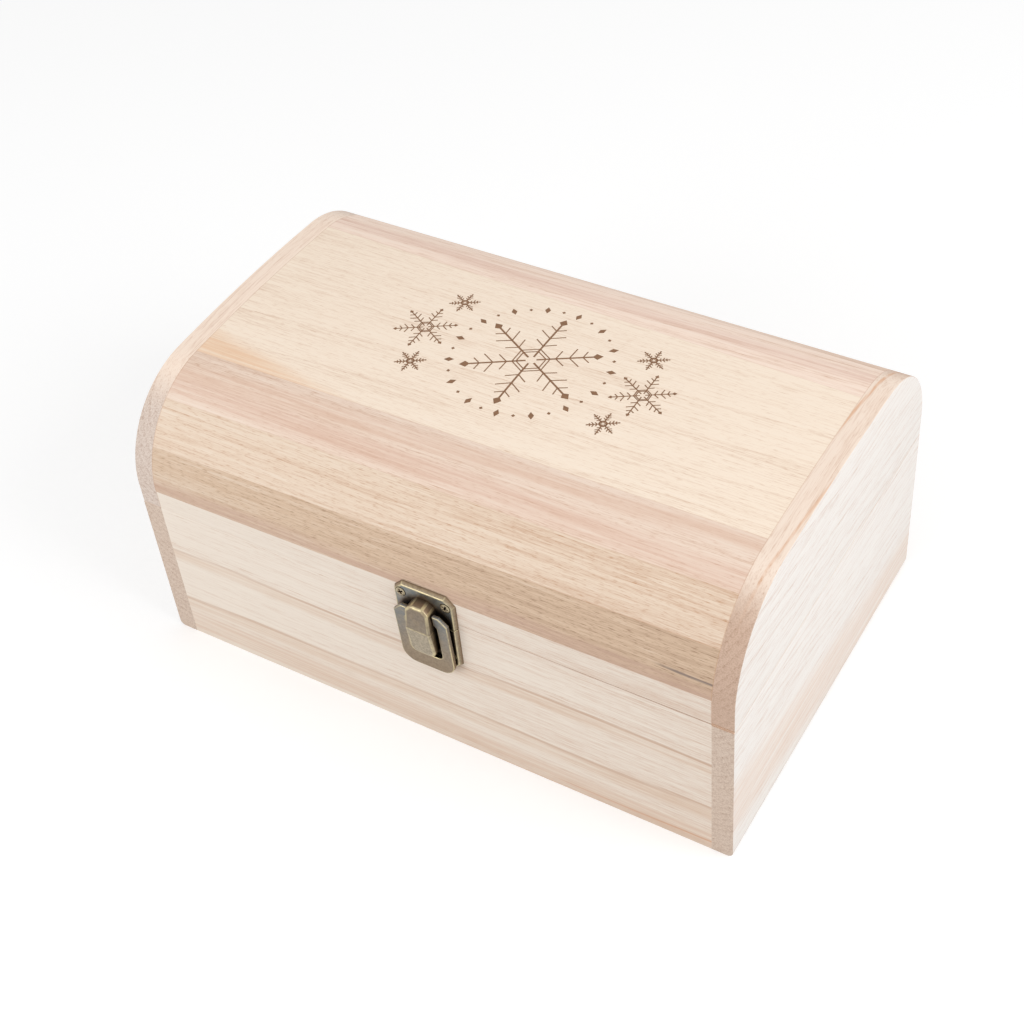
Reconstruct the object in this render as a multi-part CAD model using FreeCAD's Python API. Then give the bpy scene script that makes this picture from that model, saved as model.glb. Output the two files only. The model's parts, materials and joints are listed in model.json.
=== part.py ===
"""Dome-lidded wooden keepsake box, with a coopered lid, two stop hinges and a ring clasp.

X runs along the width, the clasp is on the -Y side and +Z is up. The origin is the centre of the
underside. Lengths are in millimetres and angles in degrees.
"""
import FreeCAD, Part
import math
import os

Vector = FreeCAD.Vector

# Walls and bottom of the base
box_width = 300.0
box_depth = 195.0
wall = 10.0
base_height = 84.1
saw_gap = 0.5  # left by the saw that parts the lid from the base
bottom_thickness = 4.0
bottom_rebate = 5.0  # how far the bottom board reaches under each wall
bottom_play = 0.1
foot_round = 3.0  # on the outer lower edges of the end boards
foot_limit_share = 0.8  # of an end board's foot, the most that the rounding may take

# Outline and strips of the lid
lid_flat = 10.5  # upright stretch between the saw cut and the shoulder
shoulder_radius = 48.0
crown_radius = 900.0
stave_thickness = 10.0
rail_height = 12.0
corner_stave_width = 24.0
shoulder_stave_width = 23.0
haunch_stave_width = 27.0

# Wood screws, shared by the clasp and the hinges
screw_length = 7.5  # under the head
screw_radius = 1.1
screw_head_radius = 2.3
screw_head_height = 0.5
screw_clearance = 0.05

# Hinges
hinge_inset = 60.0  # from the end of the box to the middle of a hinge
hinge_width = 30.0
leaf_height = 15.0  # from the pin's axis to the free edge
leaf_thickness = 1.2
leaf_corner = 3.0
leaf_screw_side_inset = 6.0
leaf_screw_edge_inset = 5.5
barrel_radius = 2.4
middle_knuckle_width = 14.0
knuckle_gap = 0.2
pin_radius = 1.2
pin_play = 0.06
pin_head_radius = 1.9
pin_head_thickness = 0.7
lip_reach = 6.2  # from the pin's axis to the edge of a stop lip
lip_thickness = 1.2
lip_gap = 0.4  # between a lip and the other leaf's knuckles
lid_opening = 100.0
stop_slack = 1.5  # angle left between the lips when the lid is open

# Plates of the clasp
clasp_offset = 6.2  # the clasp sits right of the middle of the front
clasp_width = 30.8
clasp_split_drop = 2.8  # from the saw cut down to the joint of the two plates
clasp_split_gap = 0.3
ring_plate_height = 18.2
hook_plate_height = 26.5
plate_thickness = 2.0
plate_bevel = 1.1
plate_corner = 4.4
clasp_screw_side_inset = 4.2
ring_screw_edge_inset = 5.4
hook_screw_edge_inset = 9.5

# Knuckle block on the upper plate and hook block on the lower plate
block_reach = 9.2  # from the wood to the crest where the faces of both blocks meet
block_width = 12.8
block_edge = 0.6
knuckle_height = 13.1
knuckle_top_width = 11.2
knuckle_corner = 2.6
knuckle_lean = 1.2  # how much less the top of the knuckle stands out than the crest
hook_height = 16.9
hook_lean = 2.2  # how much less the foot of the hook stands out than the crest
hook_corner_radius = 4.2
hook_nose = 1.7
hook_undercut = 1.2

# Swinging ring
ring_pivot_out = 5.1  # from the wood to the pivot
ring_pivot_rise = 3.6  # from the saw cut up to the pivot
ring_thickness = 2.0
ring_arm_width = 5.4
ring_side_gap = 1.6  # between a block's side and an arm
ring_swing_gap = 1.9  # between the hook's nose and the bar as it swings by
ring_rest_gap = 0.3  # between the bar and the lower plate
ring_ear_gap = 0.3
ring_ear_corner = 4.0
ring_bar_height = 9.0
ring_outer_radius = 7.0
ring_inner_radius = 2.5
ring_pin_radius = 0.95
ring_pin_length = 2.2
ring_pin_play = 0.06

# Length by which every cutting shape runs past what it cuts
overrun = 2.0

# Edges this close to a face are taken to lie on it
edge_tolerance = 0.01

# Places worked out from the sizes
half_width = box_width / 2
half_depth = box_depth / 2
seam_z = base_height + saw_gap / 2
lid_bottom = base_height + saw_gap
shoulder_y = half_depth - shoulder_radius
shoulder_z = lid_bottom + lid_flat
crown_z = shoulder_z - math.sqrt((crown_radius - shoulder_radius) ** 2 - shoulder_y ** 2)
meet_angle = math.atan2(shoulder_z - crown_z, shoulder_y)
shoulder_end = lid_flat + shoulder_radius * meet_angle
half_run = shoulder_end + crown_radius * (math.pi / 2 - meet_angle)
hinge_y = half_depth + barrel_radius
foot_radius = min(foot_round, foot_limit_share * (wall - bottom_rebate))
split_rise = -clasp_split_drop
hook_top_rise = split_rise - clasp_split_gap


def block_between(low, high):
    """A straight block from its lowest corner to its highest."""
    size = Vector(*high) - Vector(*low)
    return Part.makeBox(size.x, size.y, size.z, Vector(*low))


def polygon(points):
    """A closed wire through the points."""
    return Part.makePolygon(list(points) + [points[0]])


def prism(wire, travel):
    """The solid that a flat wire sweeps along a straight line."""
    return Part.Face(wire).extrude(travel)


def one_solid(shape):
    """The single solid in a shape, with faces that lie in one plane joined."""
    solids = shape.Solids
    if len(solids) != 1:
        raise ValueError("expected one solid, found %d" % len(solids))
    return solids[0].removeSplitter()


def fused(first, *others):
    """One solid from several that touch or overlap."""
    return one_solid(first.fuse(list(others)))


def with_round_foot(board):
    """An end board with its outer lower edge rounded."""
    def outside(edge):
        return max(half_width - abs(edge.CenterOfMass.x), edge.BoundBox.ZMax) < edge_tolerance
    return one_solid(board.makeFillet(foot_radius, [e for e in board.Edges if outside(e)]))


def outline_at(run):
    """Point (y, z) and outward normal of the lid's outline, at a length along it from the front edge."""
    if run > half_run:
        (y, z), (normal_y, normal_z) = outline_at(2 * half_run - run)
        return (-y, z), (-normal_y, normal_z)
    if run <= lid_flat:
        return (-half_depth, lid_bottom + run), (-1, 0)
    if run <= shoulder_end:
        angle = (run - lid_flat) / shoulder_radius
        centre, radius = (-shoulder_y, shoulder_z), shoulder_radius
    else:
        angle = meet_angle + (run - shoulder_end) / crown_radius
        centre, radius = (0, crown_z), crown_radius
    normal = (-math.cos(angle), math.sin(angle))
    return (centre[0] + radius * normal[0], centre[1] + radius * normal[1]), normal


def outline_point(run, x, depth=0):
    """A point of the lid's outline, or one that lies that deep under it."""
    (y, z), (normal_y, normal_z) = outline_at(run)
    return Vector(x, y - depth * normal_y, z - depth * normal_z)


def outline_edges(start, end, x):
    """The lines and arcs of the lid's outline between two lengths along it."""
    joints = [0, lid_flat, shoulder_end, 2 * half_run - shoulder_end, 2 * half_run - lid_flat, 2 * half_run]
    edges = []
    for low, high in zip(joints, joints[1:]):
        a, b = max(low, start), min(high, end)
        if b <= a:
            continue
        first, last = outline_point(a, x), outline_point(b, x)
        if low in (0, joints[-2]):
            edges.append(Part.LineSegment(first, last).toShape())
        else:
            edges.append(Part.Arc(first, outline_point((a + b) / 2, x), last).toShape())
    return edges


def lid_strip(start, end):
    """A rail or stave: round outside, flat inside, with joint faces square to the outline."""
    x = -half_width + wall
    inner = [outline_point(end, x, stave_thickness), outline_point(start, x, stave_thickness)]
    corners = [outline_point(end, x)] + inner + [outline_point(start, x)]
    sides = [Part.LineSegment(a, b).toShape() for a, b in zip(corners, corners[1:])]
    section = Part.Wire(Part.__sortEdges__(outline_edges(start, end, x) + sides))
    return prism(section, Vector(box_width - 2 * wall, 0, 0))


def lid_end(x):
    """A board at an end of the lid, cut to the lid's outline."""
    foot = Part.LineSegment(outline_point(2 * half_run, x), outline_point(0, x)).toShape()
    section = Part.Wire(Part.__sortEdges__(outline_edges(0, 2 * half_run, x) + [foot]))
    return prism(section, Vector(wall, 0, 0))


def turned(half_section):
    """The solid that a half section of (radius, height) points makes when it turns about Z."""
    outline = polygon([Vector(radius, 0, height) for radius, height in half_section])
    return Part.Face(outline).revolve(Vector(0, 0, 0), Vector(0, 0, 1), 360)


def screw():
    """A flat-headed wood screw along +Z, with the underside of its head at zero."""
    return turned([
        (0, screw_head_height),
        (screw_head_radius, screw_head_height),
        (screw_head_radius, 0),
        (screw_radius, 0),
        (screw_radius, -screw_length),
        (0, -screw_length),
    ])


def screw_void():
    """The hole that takes a screw's shank."""
    foot = Vector(0, 0, -screw_length - screw_clearance)
    return Part.makeCylinder(screw_radius + screw_clearance, overrun - foot.z, foot)


def placed(shape, seat, outward):
    """A shape made along +Z, set on a seat so that its Z points along the given side of Y."""
    turn = FreeCAD.Rotation(Vector(0, 0, 1), Vector(0, outward, 0))
    moved = shape.copy()
    moved.Placement = FreeCAD.Placement(seat, turn)
    return moved


def drilled(solid, seats, outward):
    """The solid with a screw's hole at each seat."""
    return one_solid(solid.cut([placed(screw_void(), seat, outward) for seat in seats]))


def screws(seats, outward):
    """A group of separate screws."""
    return Part.makeCompound([placed(screw(), seat, outward) for seat in seats])


def front_at(across, out, rise):
    """A point by the clasp: across from its middle line, out from the wood, up from the saw cut."""
    return Vector(clasp_offset + across, -half_depth - out, seam_z + rise)


def clasp_outline(split, far, out, inset):
    """Outline of a clasp plate, square at the joint with the other plate and cornered at its far end."""
    side = math.copysign(1, far - split)
    half = clasp_width / 2 - inset
    end = far - side * inset
    corner = plate_corner - inset * (2 - math.sqrt(2))
    right = [(half, split), (half, end - side * corner), (half - corner, end)]
    left = [(-across, rise) for across, rise in reversed(right)]
    return polygon([front_at(across, out, rise) for across, rise in right + left])


def clasp_plate(split, far):
    """A clasp plate with sloping sides."""
    back = clasp_outline(split, far, 0, 0)
    face = clasp_outline(split, far, plate_thickness, plate_bevel)
    return Part.makeLoft([back, face], True, True)


def clasp_screw_seats(far, edge_inset):
    """Seats of a plate's two screws."""
    across = clasp_width / 2 - clasp_screw_side_inset
    rise = far - math.copysign(edge_inset, far)
    return [front_at(side * across, plate_thickness, rise) for side in (-1, 1)]


def knuckle_half_width(rise):
    """Half the knuckle block's width at a height."""
    share = (rise - split_rise) / knuckle_height
    return (block_width + (knuckle_top_width - block_width) * share) / 2


def knuckle_block():
    """The block that the ring turns in, with its cornered top and the ring's bore."""
    top = split_rise + knuckle_height
    shoulder = top - knuckle_corner
    right = [
        (knuckle_half_width(split_rise), split_rise),
        (knuckle_half_width(shoulder), shoulder),
        (knuckle_top_width / 2 - knuckle_corner, top),
    ]
    left = [(-across, rise) for across, rise in reversed(right)]
    root = plate_thickness / 2
    outline = polygon([front_at(across, root, rise) for across, rise in right + left])
    front_view = prism(outline, Vector(0, root - block_reach, 0))
    top_out = block_reach - knuckle_lean
    profile = [(root, split_rise), (block_reach, split_rise), (top_out, top), (root, top)]
    side_view = prism(polygon([front_at(-block_width, *p) for p in profile]), Vector(2 * block_width, 0, 0))
    body = one_solid(side_view.common(front_view))
    face = min(body.Faces, key=lambda f: f.CenterOfMass.y)
    crest_z = seam_z + split_rise
    rim = [e for e in face.Edges if e.CenterOfMass.z > crest_z + edge_tolerance]
    body = one_solid(body.makeChamfer(block_edge, rim))
    start = front_at(-block_width, ring_pivot_out, ring_pivot_rise)
    bore = Part.makeCylinder(ring_pin_radius + ring_pin_play, 2 * block_width, start, Vector(1, 0, 0))
    return one_solid(body.cut(bore))


def hook_block():
    """The block that the ring drops over, with a nose that holds the ring's bar."""
    foot = hook_top_rise - hook_height
    root = plate_thickness / 2
    nose_out = block_reach - hook_lean
    profile = [
        (root, hook_top_rise),
        (block_reach, hook_top_rise),
        (nose_out, foot),
        (nose_out - hook_nose, foot),
        (nose_out - hook_nose, foot + hook_undercut),
        (root, foot + hook_undercut),
    ]
    half = block_width / 2
    side_view = prism(polygon([front_at(-half, *p) for p in profile]), Vector(block_width, 0, 0))
    corner_at = half - hook_corner_radius
    reach = hook_corner_radius * math.sqrt(0.5)
    knee = foot + hook_corner_radius
    points = {
        "top_right": front_at(half, 0, hook_top_rise),
        "knee_right": front_at(half, 0, knee),
        "round_right": front_at(corner_at + reach, 0, knee - reach),
        "foot_right": front_at(corner_at, 0, foot),
        "foot_left": front_at(-corner_at, 0, foot),
        "round_left": front_at(-corner_at - reach, 0, knee - reach),
        "knee_left": front_at(-half, 0, knee),
        "top_left": front_at(-half, 0, hook_top_rise),
    }
    edges = [
        Part.LineSegment(points["top_right"], points["knee_right"]).toShape(),
        Part.Arc(points["knee_right"], points["round_right"], points["foot_right"]).toShape(),
        Part.LineSegment(points["foot_right"], points["foot_left"]).toShape(),
        Part.Arc(points["foot_left"], points["round_left"], points["knee_left"]).toShape(),
        Part.LineSegment(points["knee_left"], points["top_left"]).toShape(),
        Part.LineSegment(points["top_left"], points["top_right"]).toShape(),
    ]
    front_view = prism(Part.Wire(edges), Vector(0, -block_reach - overrun, 0))
    return one_solid(side_view.common(front_view))


def clasp_ring():
    """The ring: two arms from a wide bar up to ears with inward pins, leaning on to the lower plate."""
    foot = hook_top_rise - hook_height
    nose = (block_reach - hook_lean - ring_pivot_out, foot - ring_pivot_rise)
    inner_reach = math.hypot(*nose) + ring_swing_gap
    reach = inner_reach + ring_bar_height
    inner = block_width / 2 + ring_side_gap
    outer = inner + ring_arm_width
    half_thick = ring_thickness / 2
    ear_room = ring_pivot_out - plate_thickness - ring_ear_gap
    ear_rise = math.sqrt(ear_room ** 2 - half_thick ** 2)
    ear_inner = knuckle_half_width(ring_pivot_rise - ear_rise) + ring_ear_gap
    step = inner - ear_inner

    def at(across, rise):
        return Vector(across, half_thick, rise)

    def half_edges(side):
        bend = math.sqrt(0.5)
        out_x, out_z = outer - ring_outer_radius, ring_outer_radius - reach
        in_x, in_z = inner - ring_inner_radius, ring_inner_radius - inner_reach
        out_turn = (out_x + ring_outer_radius * bend, out_z - ring_outer_radius * bend)
        in_turn = (in_x + ring_inner_radius * bend, in_z - ring_inner_radius * bend)
        bar = [(0, -reach), (out_x, -reach)]
        arm = [
            (outer, out_z),
            (outer, ear_rise - ring_ear_corner),
            (outer - ring_ear_corner, ear_rise),
            (ear_inner, ear_rise),
            (ear_inner, -ear_rise),
            (inner, -ear_rise - step),
            (inner, in_z),
        ]
        seat = [(in_x, -inner_reach), (0, -inner_reach)]
        runs = [bar, arm, seat]
        edges = []
        for run in runs:
            ends = [at(side * a, r) for a, r in run]
            edges += [Part.LineSegment(a, b).toShape() for a, b in zip(ends, ends[1:])]
        for before, turn, after in ((bar[-1], out_turn, arm[0]), (arm[-1], in_turn, seat[0])):
            edges.append(Part.Arc(*[at(side * a, r) for a, r in (before, turn, after)]).toShape())
        return edges

    outline = Part.Wire(Part.__sortEdges__(half_edges(1) + half_edges(-1)))
    body = prism(outline, Vector(0, -ring_thickness, 0))
    pins = []
    for side in (-1, 1):
        tip = Vector(side * (ear_inner - ring_ear_gap - ring_pin_length), 0, 0)
        length = ring_pin_length + ring_ear_gap + ring_arm_width / 2
        pins.append(Part.makeCylinder(ring_pin_radius, length, tip, Vector(side, 0, 0)))
    ring = fused(body, *pins)
    lean = math.asin((ring_pivot_out - half_thick - plate_thickness - ring_rest_gap) / reach)
    ring.rotate(Vector(0, 0, 0), Vector(1, 0, 0), math.degrees(lean))
    ring.translate(front_at(0, ring_pivot_out, ring_pivot_rise))
    return ring


def hinge_prism(x_from, x_to, profile, side):
    """A hinge piece: a profile of (out, rise) from the pin's axis, with rise towards the leaf's own side."""
    points = [Vector(x_from, hinge_y + out, seam_z + side * rise) for out, rise in profile]
    return prism(polygon(points), Vector(x_to - x_from, 0, 0))


def knuckle_spans(x_mid, side):
    """Where a leaf's knuckles start and end: one in the middle for the lid, two outside it for the base."""
    if side > 0:
        return [(x_mid - middle_knuckle_width / 2, x_mid + middle_knuckle_width / 2)]
    inner = middle_knuckle_width / 2 + knuckle_gap
    outer = hinge_width / 2
    return [(x_mid - outer, x_mid - inner), (x_mid + inner, x_mid + outer)]


def lip_profile(start, end):
    """Section of a stop lip, whose meeting face lies on a plane through the pin's axis."""
    angle = math.radians((lid_opening + stop_slack) / 2)
    along = (math.cos(angle), math.sin(angle))
    across = (-math.sin(angle), math.cos(angle))
    corners = [(start, 0), (end, 0), (end, lip_thickness), (start, lip_thickness)]
    return [(r * along[0] + n * across[0], r * along[1] + n * across[1]) for r, n in corners]


def leaf_screw_seats(x_mid, side):
    """Seats of a leaf's two screws."""
    across = hinge_width / 2 - leaf_screw_side_inset
    rise = leaf_height - leaf_screw_edge_inset
    y = half_depth + leaf_thickness
    return [Vector(x_mid + step * across, y, seam_z + side * rise) for step in (-1, 1)]


def hinge_leaf(x_mid, side):
    """A leaf with its knuckles and the stop lip that meets the other leaf's lip when the lid is open."""
    left, right = x_mid - hinge_width / 2, x_mid + hinge_width / 2
    back = -barrel_radius
    face = back + leaf_thickness
    relief = barrel_radius + lip_gap
    plate_profile = [
        (back, relief),
        (face, relief),
        (face, leaf_height),
        (back, leaf_height),
    ]
    strap_profile = [(back, 0), (face, 0), (face, relief), (back, relief)]
    plate = hinge_prism(left, right, plate_profile, side)
    edge_z = seam_z + side * leaf_height
    free = [e for e in plate.Edges if all(abs(v.Z - edge_z) < edge_tolerance for v in e.Vertexes)]
    corners = [e for e in free if abs(e.Vertexes[0].Y - e.Vertexes[1].Y) > edge_tolerance]
    pieces = [plate.makeFillet(leaf_corner, corners)]
    pieces.append(hinge_prism(left, right, lip_profile(relief, lip_reach), side))
    root = (pin_radius + barrel_radius) / 2
    for start, end in knuckle_spans(x_mid, side):
        pieces.append(hinge_prism(start, end, strap_profile, side))
        pieces.append(hinge_prism(start, end, lip_profile(root, relief), side))
        axis_point = Vector(start, hinge_y, seam_z)
        pieces.append(Part.makeCylinder(barrel_radius, end - start, axis_point, Vector(1, 0, 0)))
    bore_start = Vector(left - overrun, hinge_y, seam_z)
    bore_length = hinge_width + 2 * overrun
    bore = Part.makeCylinder(pin_radius + pin_play, bore_length, bore_start, Vector(1, 0, 0))
    leaf = one_solid(fused(*pieces).cut(bore))
    return drilled(leaf, leaf_screw_seats(x_mid, side), 1)


def hinge_pin(x_mid):
    """A pin with a flat head at each end of the barrel."""
    inner = hinge_width / 2 + knuckle_gap
    outer = inner + pin_head_thickness
    right = [(pin_radius, inner), (pin_head_radius, inner), (pin_head_radius, outer), (0, outer)]
    left = [(radius, -along) for radius, along in reversed(right)]
    pin = turned(left + right)
    turn = FreeCAD.Rotation(Vector(0, 0, 1), Vector(1, 0, 0))
    pin.Placement = FreeCAD.Placement(Vector(x_mid, hinge_y, seam_z), turn)
    return pin


def base_pieces(hinge_places, hook_seats):
    """The four walls and the bottom board."""
    reach_x = half_width - wall + bottom_rebate
    reach_y = half_depth - wall + bottom_rebate
    bottom = block_between((-reach_x, -reach_y, 0), (reach_x, reach_y, bottom_thickness))
    seat_low = (-reach_x - bottom_play, -reach_y - bottom_play, -overrun)
    seat_high = (reach_x + bottom_play, reach_y + bottom_play, bottom_thickness)
    seat = block_between(seat_low, seat_high)
    inner_x, inner_y = half_width - wall, half_depth - wall
    front = block_between((-inner_x, -half_depth, 0), (inner_x, -inner_y, base_height))
    back = block_between((-inner_x, inner_y, 0), (inner_x, half_depth, base_height))
    left = block_between((-half_width, -half_depth, 0), (-inner_x, half_depth, base_height))
    right = block_between((inner_x, -half_depth, 0), (half_width, half_depth, base_height))
    back_seats = [seat_point for x in hinge_places for seat_point in leaf_screw_seats(x, -1)]
    return {
        "front_panel": drilled(front.cut(seat), hook_seats, -1),
        "back_panel": drilled(back.cut(seat), back_seats, 1),
        "left_end_panel": with_round_foot(left.cut(seat)),
        "right_end_panel": with_round_foot(right.cut(seat)),
        "bottom_panel": bottom,
    }


def lid_pieces(hinge_places, ring_seats):
    """The lid's end boards, rails and staves."""
    widths = [rail_height, corner_stave_width, shoulder_stave_width, haunch_stave_width]
    names = ["rail", "corner_stave", "shoulder_stave", "haunch_stave"]
    back_seats = [seat_point for x in hinge_places for seat_point in leaf_screw_seats(x, 1)]
    pieces = {
        "lid_left_end": lid_end(-half_width),
        "lid_right_end": lid_end(half_width - wall),
    }
    start = 0
    for name, width in zip(names, widths):
        end = start + width
        front = lid_strip(start, end)
        back = lid_strip(2 * half_run - end, 2 * half_run - start)
        pieces["lid_front_" + name] = drilled(front, ring_seats, -1)
        pieces["lid_back_" + name] = drilled(back, back_seats, 1)
        start = end
    pieces["lid_crown_stave"] = lid_strip(start, 2 * half_run - start)
    return pieces


def clasp_pieces(ring_seats, hook_seats, ring_far, hook_far):
    """The two plates with their blocks, their screws and the ring."""
    ring_plate = fused(clasp_plate(split_rise, ring_far), knuckle_block())
    hook_plate = fused(clasp_plate(hook_top_rise, hook_far), hook_block())
    return {
        "clasp_ring_plate": drilled(ring_plate, ring_seats, -1),
        "clasp_hook_plate": drilled(hook_plate, hook_seats, -1),
        "ring_plate_screws": screws(ring_seats, -1),
        "hook_plate_screws": screws(hook_seats, -1),
        "clasp_ring": clasp_ring(),
    }


def hinge_pieces(hinge_places):
    """Leaves, pins and screws of the two hinges."""
    pieces = {}
    for name, x in zip(("left", "right"), hinge_places):
        pieces[name + "_hinge_base_leaf"] = hinge_leaf(x, -1)
        pieces[name + "_hinge_lid_leaf"] = hinge_leaf(x, 1)
        pieces[name + "_hinge_pin"] = hinge_pin(x)
    for name, side in (("base", -1), ("lid", 1)):
        seats = [seat for x in hinge_places for seat in leaf_screw_seats(x, side)]
        pieces["hinge_%s_screws" % name] = screws(seats, 1)
    return pieces


def main():
    """Builds every piece and writes each to its own file."""
    hinge_places = (hinge_inset - half_width, half_width - hinge_inset)
    ring_far = split_rise + ring_plate_height
    hook_far = hook_top_rise - hook_plate_height
    ring_seats = clasp_screw_seats(ring_far, ring_screw_edge_inset)
    hook_seats = clasp_screw_seats(hook_far, hook_screw_edge_inset)
    pieces = base_pieces(hinge_places, hook_seats)
    pieces.update(lid_pieces(hinge_places, ring_seats))
    pieces.update(clasp_pieces(ring_seats, hook_seats, ring_far, hook_far))
    pieces.update(hinge_pieces(hinge_places))
    os.makedirs("parts", exist_ok=True)
    for name, shape in pieces.items():
        shape.exportStep(os.path.join("parts", name + ".step"))


main()
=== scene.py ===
"""Looks of a dome-lidded keepsake box: raw paulownia boards, a coopered lid and antique bronze fittings.

The file is laid out as an add-on and is run as a script. Lengths are in metres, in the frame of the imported
solids: X runs along the width, the clasp is on the -Y side and +Z is up.
"""
import bmesh
import bpy
import json
from bpy.props import FloatProperty, FloatVectorProperty, PointerProperty
from collections import namedtuple
from itertools import product
from math import asin, atan2, ceil, copysign, cos, hypot, pi, radians, sin, sqrt
from mathutils import Matrix, Vector


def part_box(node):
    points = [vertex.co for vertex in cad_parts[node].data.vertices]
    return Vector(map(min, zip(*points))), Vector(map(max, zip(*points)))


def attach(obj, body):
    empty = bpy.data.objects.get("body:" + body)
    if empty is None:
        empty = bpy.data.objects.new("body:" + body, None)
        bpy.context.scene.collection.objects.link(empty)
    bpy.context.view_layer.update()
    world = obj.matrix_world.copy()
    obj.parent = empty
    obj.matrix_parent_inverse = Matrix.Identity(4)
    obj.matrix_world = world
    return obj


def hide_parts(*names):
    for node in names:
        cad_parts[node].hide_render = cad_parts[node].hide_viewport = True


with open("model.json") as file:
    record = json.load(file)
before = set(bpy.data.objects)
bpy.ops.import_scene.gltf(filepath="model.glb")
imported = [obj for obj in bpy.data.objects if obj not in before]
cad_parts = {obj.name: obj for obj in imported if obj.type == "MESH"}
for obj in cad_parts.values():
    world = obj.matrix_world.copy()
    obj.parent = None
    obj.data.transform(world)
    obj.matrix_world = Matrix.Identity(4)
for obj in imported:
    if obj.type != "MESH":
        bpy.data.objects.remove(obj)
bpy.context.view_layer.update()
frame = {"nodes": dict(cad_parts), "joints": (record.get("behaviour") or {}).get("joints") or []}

bl_info = {
    "name": "Keepsake box",
    "version": (1, 0, 0),
    "blender": (4, 5, 0),
    "location": "View3D > Sidebar > Keepsake box",
    "description": "Dresses the packed solids of a dome-lidded wooden box",
    "category": "Object",
}

MM = 0.001

# A point this close to a plane lies on it, and at the second distance nothing of a joint or saw cut shows
NEAR = 0.05 * MM
FAR = 1

# Edges sharper than the first angle can be rounded, and those sharper than the second show as edges
ROUNDED_FROM = radians(20)
CREASED_FROM = radians(32)


def linear(hex_colour):
    """An sRGB hex colour as linear red, green and blue."""
    channels = [int(hex_colour[i:i + 2], 16) / 255 for i in (0, 2, 4)]
    return tuple(c / 12.92 if c <= 0.04045 else ((c + 0.055) / 1.055) ** 2.4 for c in channels)


def length(name, millimetres, description):
    """A length that a user can set, given here in millimetres."""
    return FloatProperty(name=name, description=description, default=millimetres * MM, unit="LENGTH", precision=5)


def tone(name, hex_colour, description):
    """A colour that a user can set, given here as sRGB hex."""
    default = linear(hex_colour)
    return FloatVectorProperty(name=name, description=description, default=default, subtype="COLOR", min=0, max=1)


def angle(name, degrees, description):
    """An angle that a user can set, given here in degrees."""
    return FloatProperty(name=name, description=description, default=radians(degrees), unit="ROTATION")


class WoodSizes(bpy.types.PropertyGroup):
    """Sizes of the boards and staves that the solids' boxes don't give."""
    lid_flat: length("Upright edge", 10.5, "Height of the lid's upright edge above the saw cut")
    shoulder_radius: length("Shoulder radius", 48, "Radius of the lid's front and back shoulders")
    crown_radius: length("Crown radius", 900, "Radius of the lid's top")
    stave_thickness: length("Stave thickness", 10, "Thickness of the rails and staves")
    rail_height: length("Rail", 12, "Height of the rail above the saw cut")
    corner_stave_width: length("Corner stave", 24, "Width of the stave above the rail")
    shoulder_stave_width: length("Shoulder stave", 23, "Width of the stave on the shoulder")
    haunch_stave_width: length("Haunch stave", 27, "Width of the stave beside the crown")
    joint_lean: length("Joint lean", 2, "How far a stave's joint drops towards the left end")
    seat_play: length("Seat play", 0.1, "Room between the bottom board and its seat")
    foot_round: length("Foot rounding", 3, "Radius of the base's lower edges")
    corner_ease: length("Corner easing", 0.6, "Sanded rounding of the upright corners")
    dome_ease: length("Dome easing", 0.45, "Sanded rounding of the lid's end edges")
    saw_ease: length("Saw cut easing", 0.12, "Rounding of the edges along the saw cut")
    facet: length("Facet", 1.5, "Length of the straight steps that a curve is drawn with")
    seam_draw: length("Seam draw", 0.23, "How far a board is drawn into the saw cut where the lid lies tight")


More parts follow.
